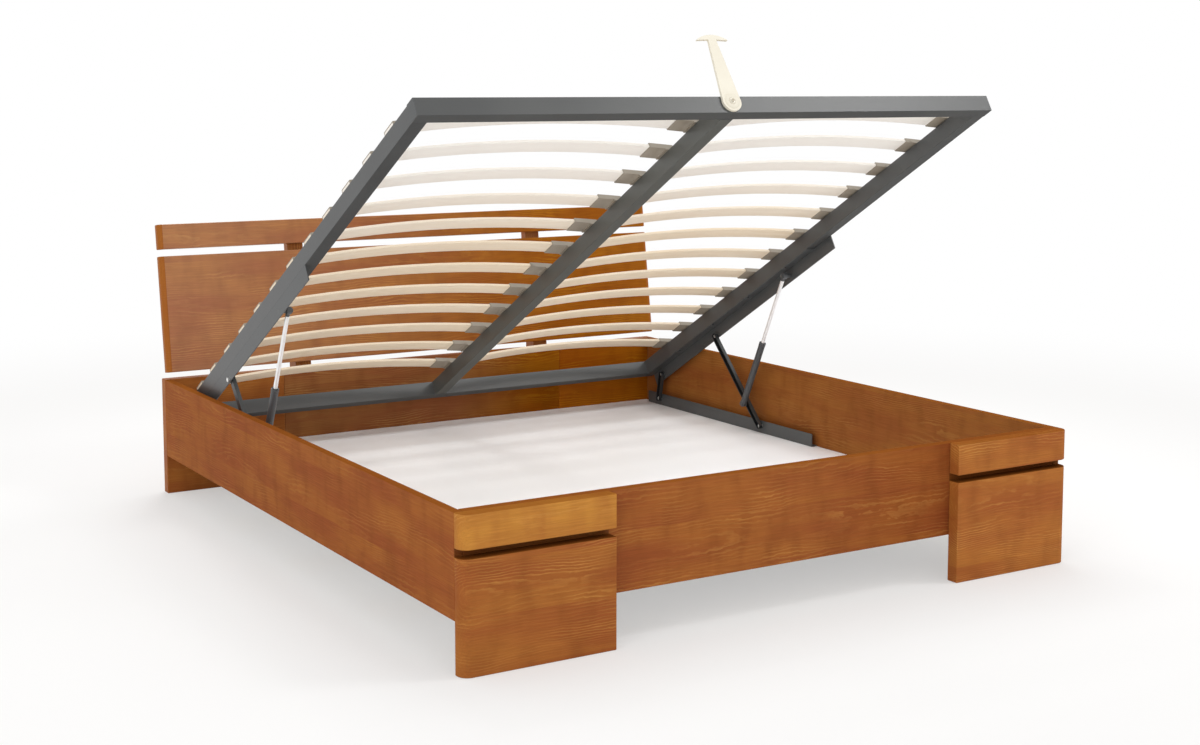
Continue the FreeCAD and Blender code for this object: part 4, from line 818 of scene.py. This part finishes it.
GLAND = 0.261171
STRUT_LINE = 0.858
COLLAR = [
    (0.0108, -0.0006),
    (0.0114, 0.0002),
    (0.0116, 0.0016),
    (0.0116, 0.0062),
    (0.0110, 0.0070),
    (0.0110, 0.0082),
    (0.0115, 0.0090),
    (0.0115, 0.0112),
    (0.0108, 0.0120),
]
WIPER = [(0.0062, -0.0022), (0.0070, -0.0022), (0.0084, -0.0008), (0.0090, 0.0002), (0.0062, 0.0002)]
rubber = moulded("wiper_rubber", shade(52, 52, 53), shade(44, 44, 45), 0.0008, 0.5)
for side, sign in (("left", -1.0), ("right", 1.0)):
    top = Vector((sign * STRUT_LINE,) + STRUT_TOP)
    line = (Vector((sign * STRUT_LINE,) + STRUT_FOOT) - top).normalized()
    gland = Matrix.Translation(top + line * GLAND) @ facing(line)
    body = "strut_cylinder_" + side
    keep_piece("strut_collar_" + side, spun(COLLAR, gland), body, strut_paint)
    keep_piece("strut_wiper_" + side, spun(WIPER, gland), body, rubber)

# %% [markdown]
# ## Pull strap's boss
# Round the strap's screw the plastic is thickened to a ring, which shows as a lighter circle on its
# round end.

# %% Ring on the strap
BOSS = [
    (0.0096, -0.0002),
    (0.0096, 0.0008),
    (0.0104, 0.0014),
    (0.0202, 0.0014),
    (0.0212, 0.0008),
    (0.0216, -0.0002),
]
STRAP_FRONT = -2.0170
boss_middle = PLATFORM @ Vector((0.0, STRAP_FRONT, STRAP_LEVEL))
boss_place = Matrix.Translation(boss_middle) @ facing(strap_way)
keep_piece("strap_boss", spun(BOSS, boss_place, 56), "pull_strap", strap_plastic)

# %% [markdown]
# ## Weld beads
# The platform's tubes are welded where they meet. A bead is a row of small overlapping scales: a ring
# of points is drawn out step by step along the seam, a little wider and narrower in turn, and closed at
# both ends.

# %% Beads along the seams
BEAD = 0.0019
BEAD_SIDES = 8
SCALE_LENGTH = 0.0022
SCALE_SWELL = 1.4


def bead(mesh, start, end):
    """Adds one bead from start to end."""
    start, end = Vector(start), Vector(end)
    steps = int((end - start).length / SCALE_LENGTH) * 2
    turn = facing(end - start)
    ring = bmesh.ops.create_circle(mesh, segments=BEAD_SIDES, radius=BEAD * 0.6, cap_ends=True)["verts"]
    edges = list({edge for vertex in ring for edge in vertex.link_edges})
    made = list(ring)
    for step in range(steps):
        grown = bmesh.ops.extrude_edge_only(mesh, edges=edges)["geom"]
        ring = [item for item in grown if isinstance(item, bmesh.types.BMVert)]
        edges = [item for item in grown if isinstance(item, bmesh.types.BMEdge)]
        edges = [edge for edge in edges if edge.verts[0] in ring and edge.verts[1] in ring]
        bmesh.ops.translate(mesh, verts=ring, vec=(0.0, 0.0, SCALE_LENGTH / 2))
        size = SCALE_SWELL if step % 2 == 0 else 1 / SCALE_SWELL
        bmesh.ops.scale(mesh, verts=ring, vec=(size, size, 1.0))
        made += ring
    bmesh.ops.contextual_create(mesh, geom=edges)
    bmesh.ops.transform(mesh, verts=made, matrix=Matrix.Translation(start) @ turn)


SEAM_ENDS = (-0.036, -1.974)
SEAM_LOW = 0.0025
SEAM_HIGH = 0.0445
BEAM_TOP = 0.047
CENTRE_SIDE = 0.019
CENTRE_UNDER = 0.0175
BEAM_INNER = 0.850
BEAM_OUTER = 0.888
TOP_OUTER = 0.8870
TOP_INNER = 0.8515
SEAMS = []
for along in SEAM_ENDS:
    for x in (-CENTRE_SIDE, CENTRE_SIDE):
        SEAMS.append(((x, along, SEAM_LOW), (x, along, SEAM_HIGH)))
    SEAMS.append(((-CENTRE_UNDER, along, 0.0), (CENTRE_UNDER, along, 0.0)))
    for sign in (-1.0, 1.0):
        for x in (sign * BEAM_INNER, sign * BEAM_OUTER):
            SEAMS.append(((x, along, SEAM_LOW), (x, along, SEAM_HIGH)))
        SEAMS.append(((sign * TOP_OUTER, along, BEAM_TOP), (sign * TOP_INNER, along, BEAM_TOP)))
beads = bmesh.new()
for start, end in SEAMS:
    bead(beads, start, end)
beads.transform(PLATFORM)
keep_piece("weld_beads", beads, "platform", tube_coat)

# %% [markdown]
# ## Studio
# The bed stands on a seamless white floor. A real studio curves the paper up behind the object. Here
# the floor itself fades into a white world far from the bed, which looks the same and leaves no wall in
# the other views. Near the bed the floor is matt white with a painted glow mixed in for the camera and
# for reflections, a little under half of it, so it keeps the bed's soft shadow but lightens it.

# %% Floor and world
floor_mesh = bmesh.new()
bmesh.ops.create_grid(floor_mesh, x_segments=2, y_segments=2, size=30.0)
floor_data = bpy.data.meshes.new("studio_floor")
floor_mesh.to_mesh(floor_data)
floor_mesh.free()
studio_floor = bpy.data.objects.new("studio_floor", floor_data)
studio_floor.location = (0.0, 0.0, -0.0005)
bpy.context.scene.collection.objects.link(studio_floor)

PAPER = (0.87, 0.87, 0.865, 1.0)
NEAR_WHITE = shade(249, 248, 247)
WHITE = (1.0, 1.0, 1.0, 1.0)


def white_paper():
    finish = Finish("white_paper", Base_Color=PAPER, Roughness=0.9, Specular_IOR_Level=0.05)
    x, y, z = finish.place()
    from_bed = (x * x + y * y).math("SQRT")
    # Painted light: near the bed a little under half of the floor seen by the camera is glow, which
    # lightens the bed's shadow.
    away = from_bed.ease(1.5, 3.4) * 0.56 + 0.44
    light_path = finish.node("ShaderNodeLightPath", {}, {}, "Is Camera Ray")
    seen = light_path.math("MAXIMUM", light_path.also("Is Glossy Ray"))
    distant = from_bed.ease(2.6, 5.0)
    pale = finish.mix(distant, NEAR_WHITE, WHITE)
    glow = finish.node("ShaderNodeEmission", {}, {"Color": pale, "Strength": 1.0})
    blend = finish.node("ShaderNodeMixShader", {}, {0: away * seen, 2: glow})
    finish.links.new(finish.shader.outputs[0], blend.socket.node.inputs[1])
    finish.links.new(blend.socket, finish.nodes["Material Output"].inputs["Surface"])
    return finish.material


floor_data.materials.append(white_paper())

SKY = 0.85
world = bpy.data.worlds.new("studio")
world.use_nodes = True
bpy.context.scene.world = world
sky_nodes = world.node_tree.nodes
sky_links = world.node_tree.links
sky = sky_nodes["Background"]
sky.inputs["Color"].default_value = WHITE
sky.inputs["Strength"].default_value = SKY
backdrop = sky_nodes.new("ShaderNodeBackground")
backdrop.inputs["Color"].default_value = WHITE
backdrop.inputs["Strength"].default_value = 1.0
path = sky_nodes.new("ShaderNodeLightPath")
seen = path.outputs["Is Camera Ray"]
for ray in ("Is Glossy Ray", "Is Transmission Ray"):
    either = sky_nodes.new("ShaderNodeMath")
    either.operation = "MAXIMUM"
    sky_links.new(seen, either.inputs[0])
    sky_links.new(path.outputs[ray], either.inputs[1])
    seen = either.outputs[0]
choice = sky_nodes.new("ShaderNodeMixShader")
sky_links.new(seen, choice.inputs[0])
sky_links.new(sky.outputs[0], choice.inputs[1])
sky_links.new(backdrop.outputs[0], choice.inputs[2])
sky_links.new(choice.outputs[0], sky_nodes["World Output"].inputs["Surface"])
print("sky strength:", SKY)

# %% [markdown]
# ## Lamps
# One large soft lamp hangs overhead. A small one behind the headboard throws the slats' soft stripes on
# the storage floor, a weaker one at the front left lights the rail there, and a small one high at the
# front right leaves a sheen on the foot beam. The white world fills the rest.

# %% Soft boxes
def soft_box(name, place, target, size, power):
    lamp = bpy.data.lights.new(name, "AREA")
    lamp.shape = "RECTANGLE"
    lamp.size, lamp.size_y = size
    lamp.energy = power
    holder = bpy.data.objects.new(name, lamp)
    holder.location = place
    away = Vector(place) - Vector(target)
    holder.rotation_mode = "QUATERNION"
    holder.rotation_quaternion = away.to_track_quat("Z", "Y")
    bpy.context.scene.collection.objects.link(holder)
    return holder


soft_box("overhead", (0.9, 1.6, 4.6), (0.0, -0.3, 0.3), (3.6, 3.6), 66.0)
soft_box("behind", (0.2, 2.8, 4.6), (0.0, -0.2, 0.2), (0.9, 0.9), 32.0)
soft_box("front_left", (-4.8, -3.6, 2.4), (0.0, -0.4, 0.4), (2.6, 2.0), 50.0)
soft_box("front_right", (3.35, -2.85, 4.6), (0.2, -0.8, 1.1), (1.3, 1.3), 62.0)
print("lamps:", len(bpy.data.lights))

# %% [markdown]
# ## Camera
# The bed was photographed from its foot, to the left and a little above the headboard, with the
# picture's middle moved down so that the uprights stay nearly parallel. Direction, distance and lens
# were fitted to the bed's corners in the photograph.

# %% Camera
PICTURE_WIDTH = 1200.0
FOCUS = 1745.49
SHIFT = -100.0
AZIMUTH = math.radians(-31.3546)
PITCH = math.radians(6.02)
CAMERA_PLACE = (-2.6157, -4.4526, 1.2997)
view = bpy.data.cameras.new("camera")
view.sensor_width = 36.0
view.lens = FOCUS * view.sensor_width / PICTURE_WIDTH
view.shift_y = SHIFT / PICTURE_WIDTH
camera = bpy.data.objects.new("camera", view)
camera.location = CAMERA_PLACE
level = math.cos(PITCH)
back = Vector((math.sin(AZIMUTH) * level, -math.cos(AZIMUTH) * level, math.sin(PITCH)))
camera.rotation_mode = "QUATERNION"
camera.rotation_quaternion = (-back).to_track_quat("-Z", "Y")
bpy.context.scene.collection.objects.link(camera)
bpy.context.scene.camera = camera
bpy.context.scene.view_settings.view_transform = "Standard"
print("lens:", round(view.lens, 2))
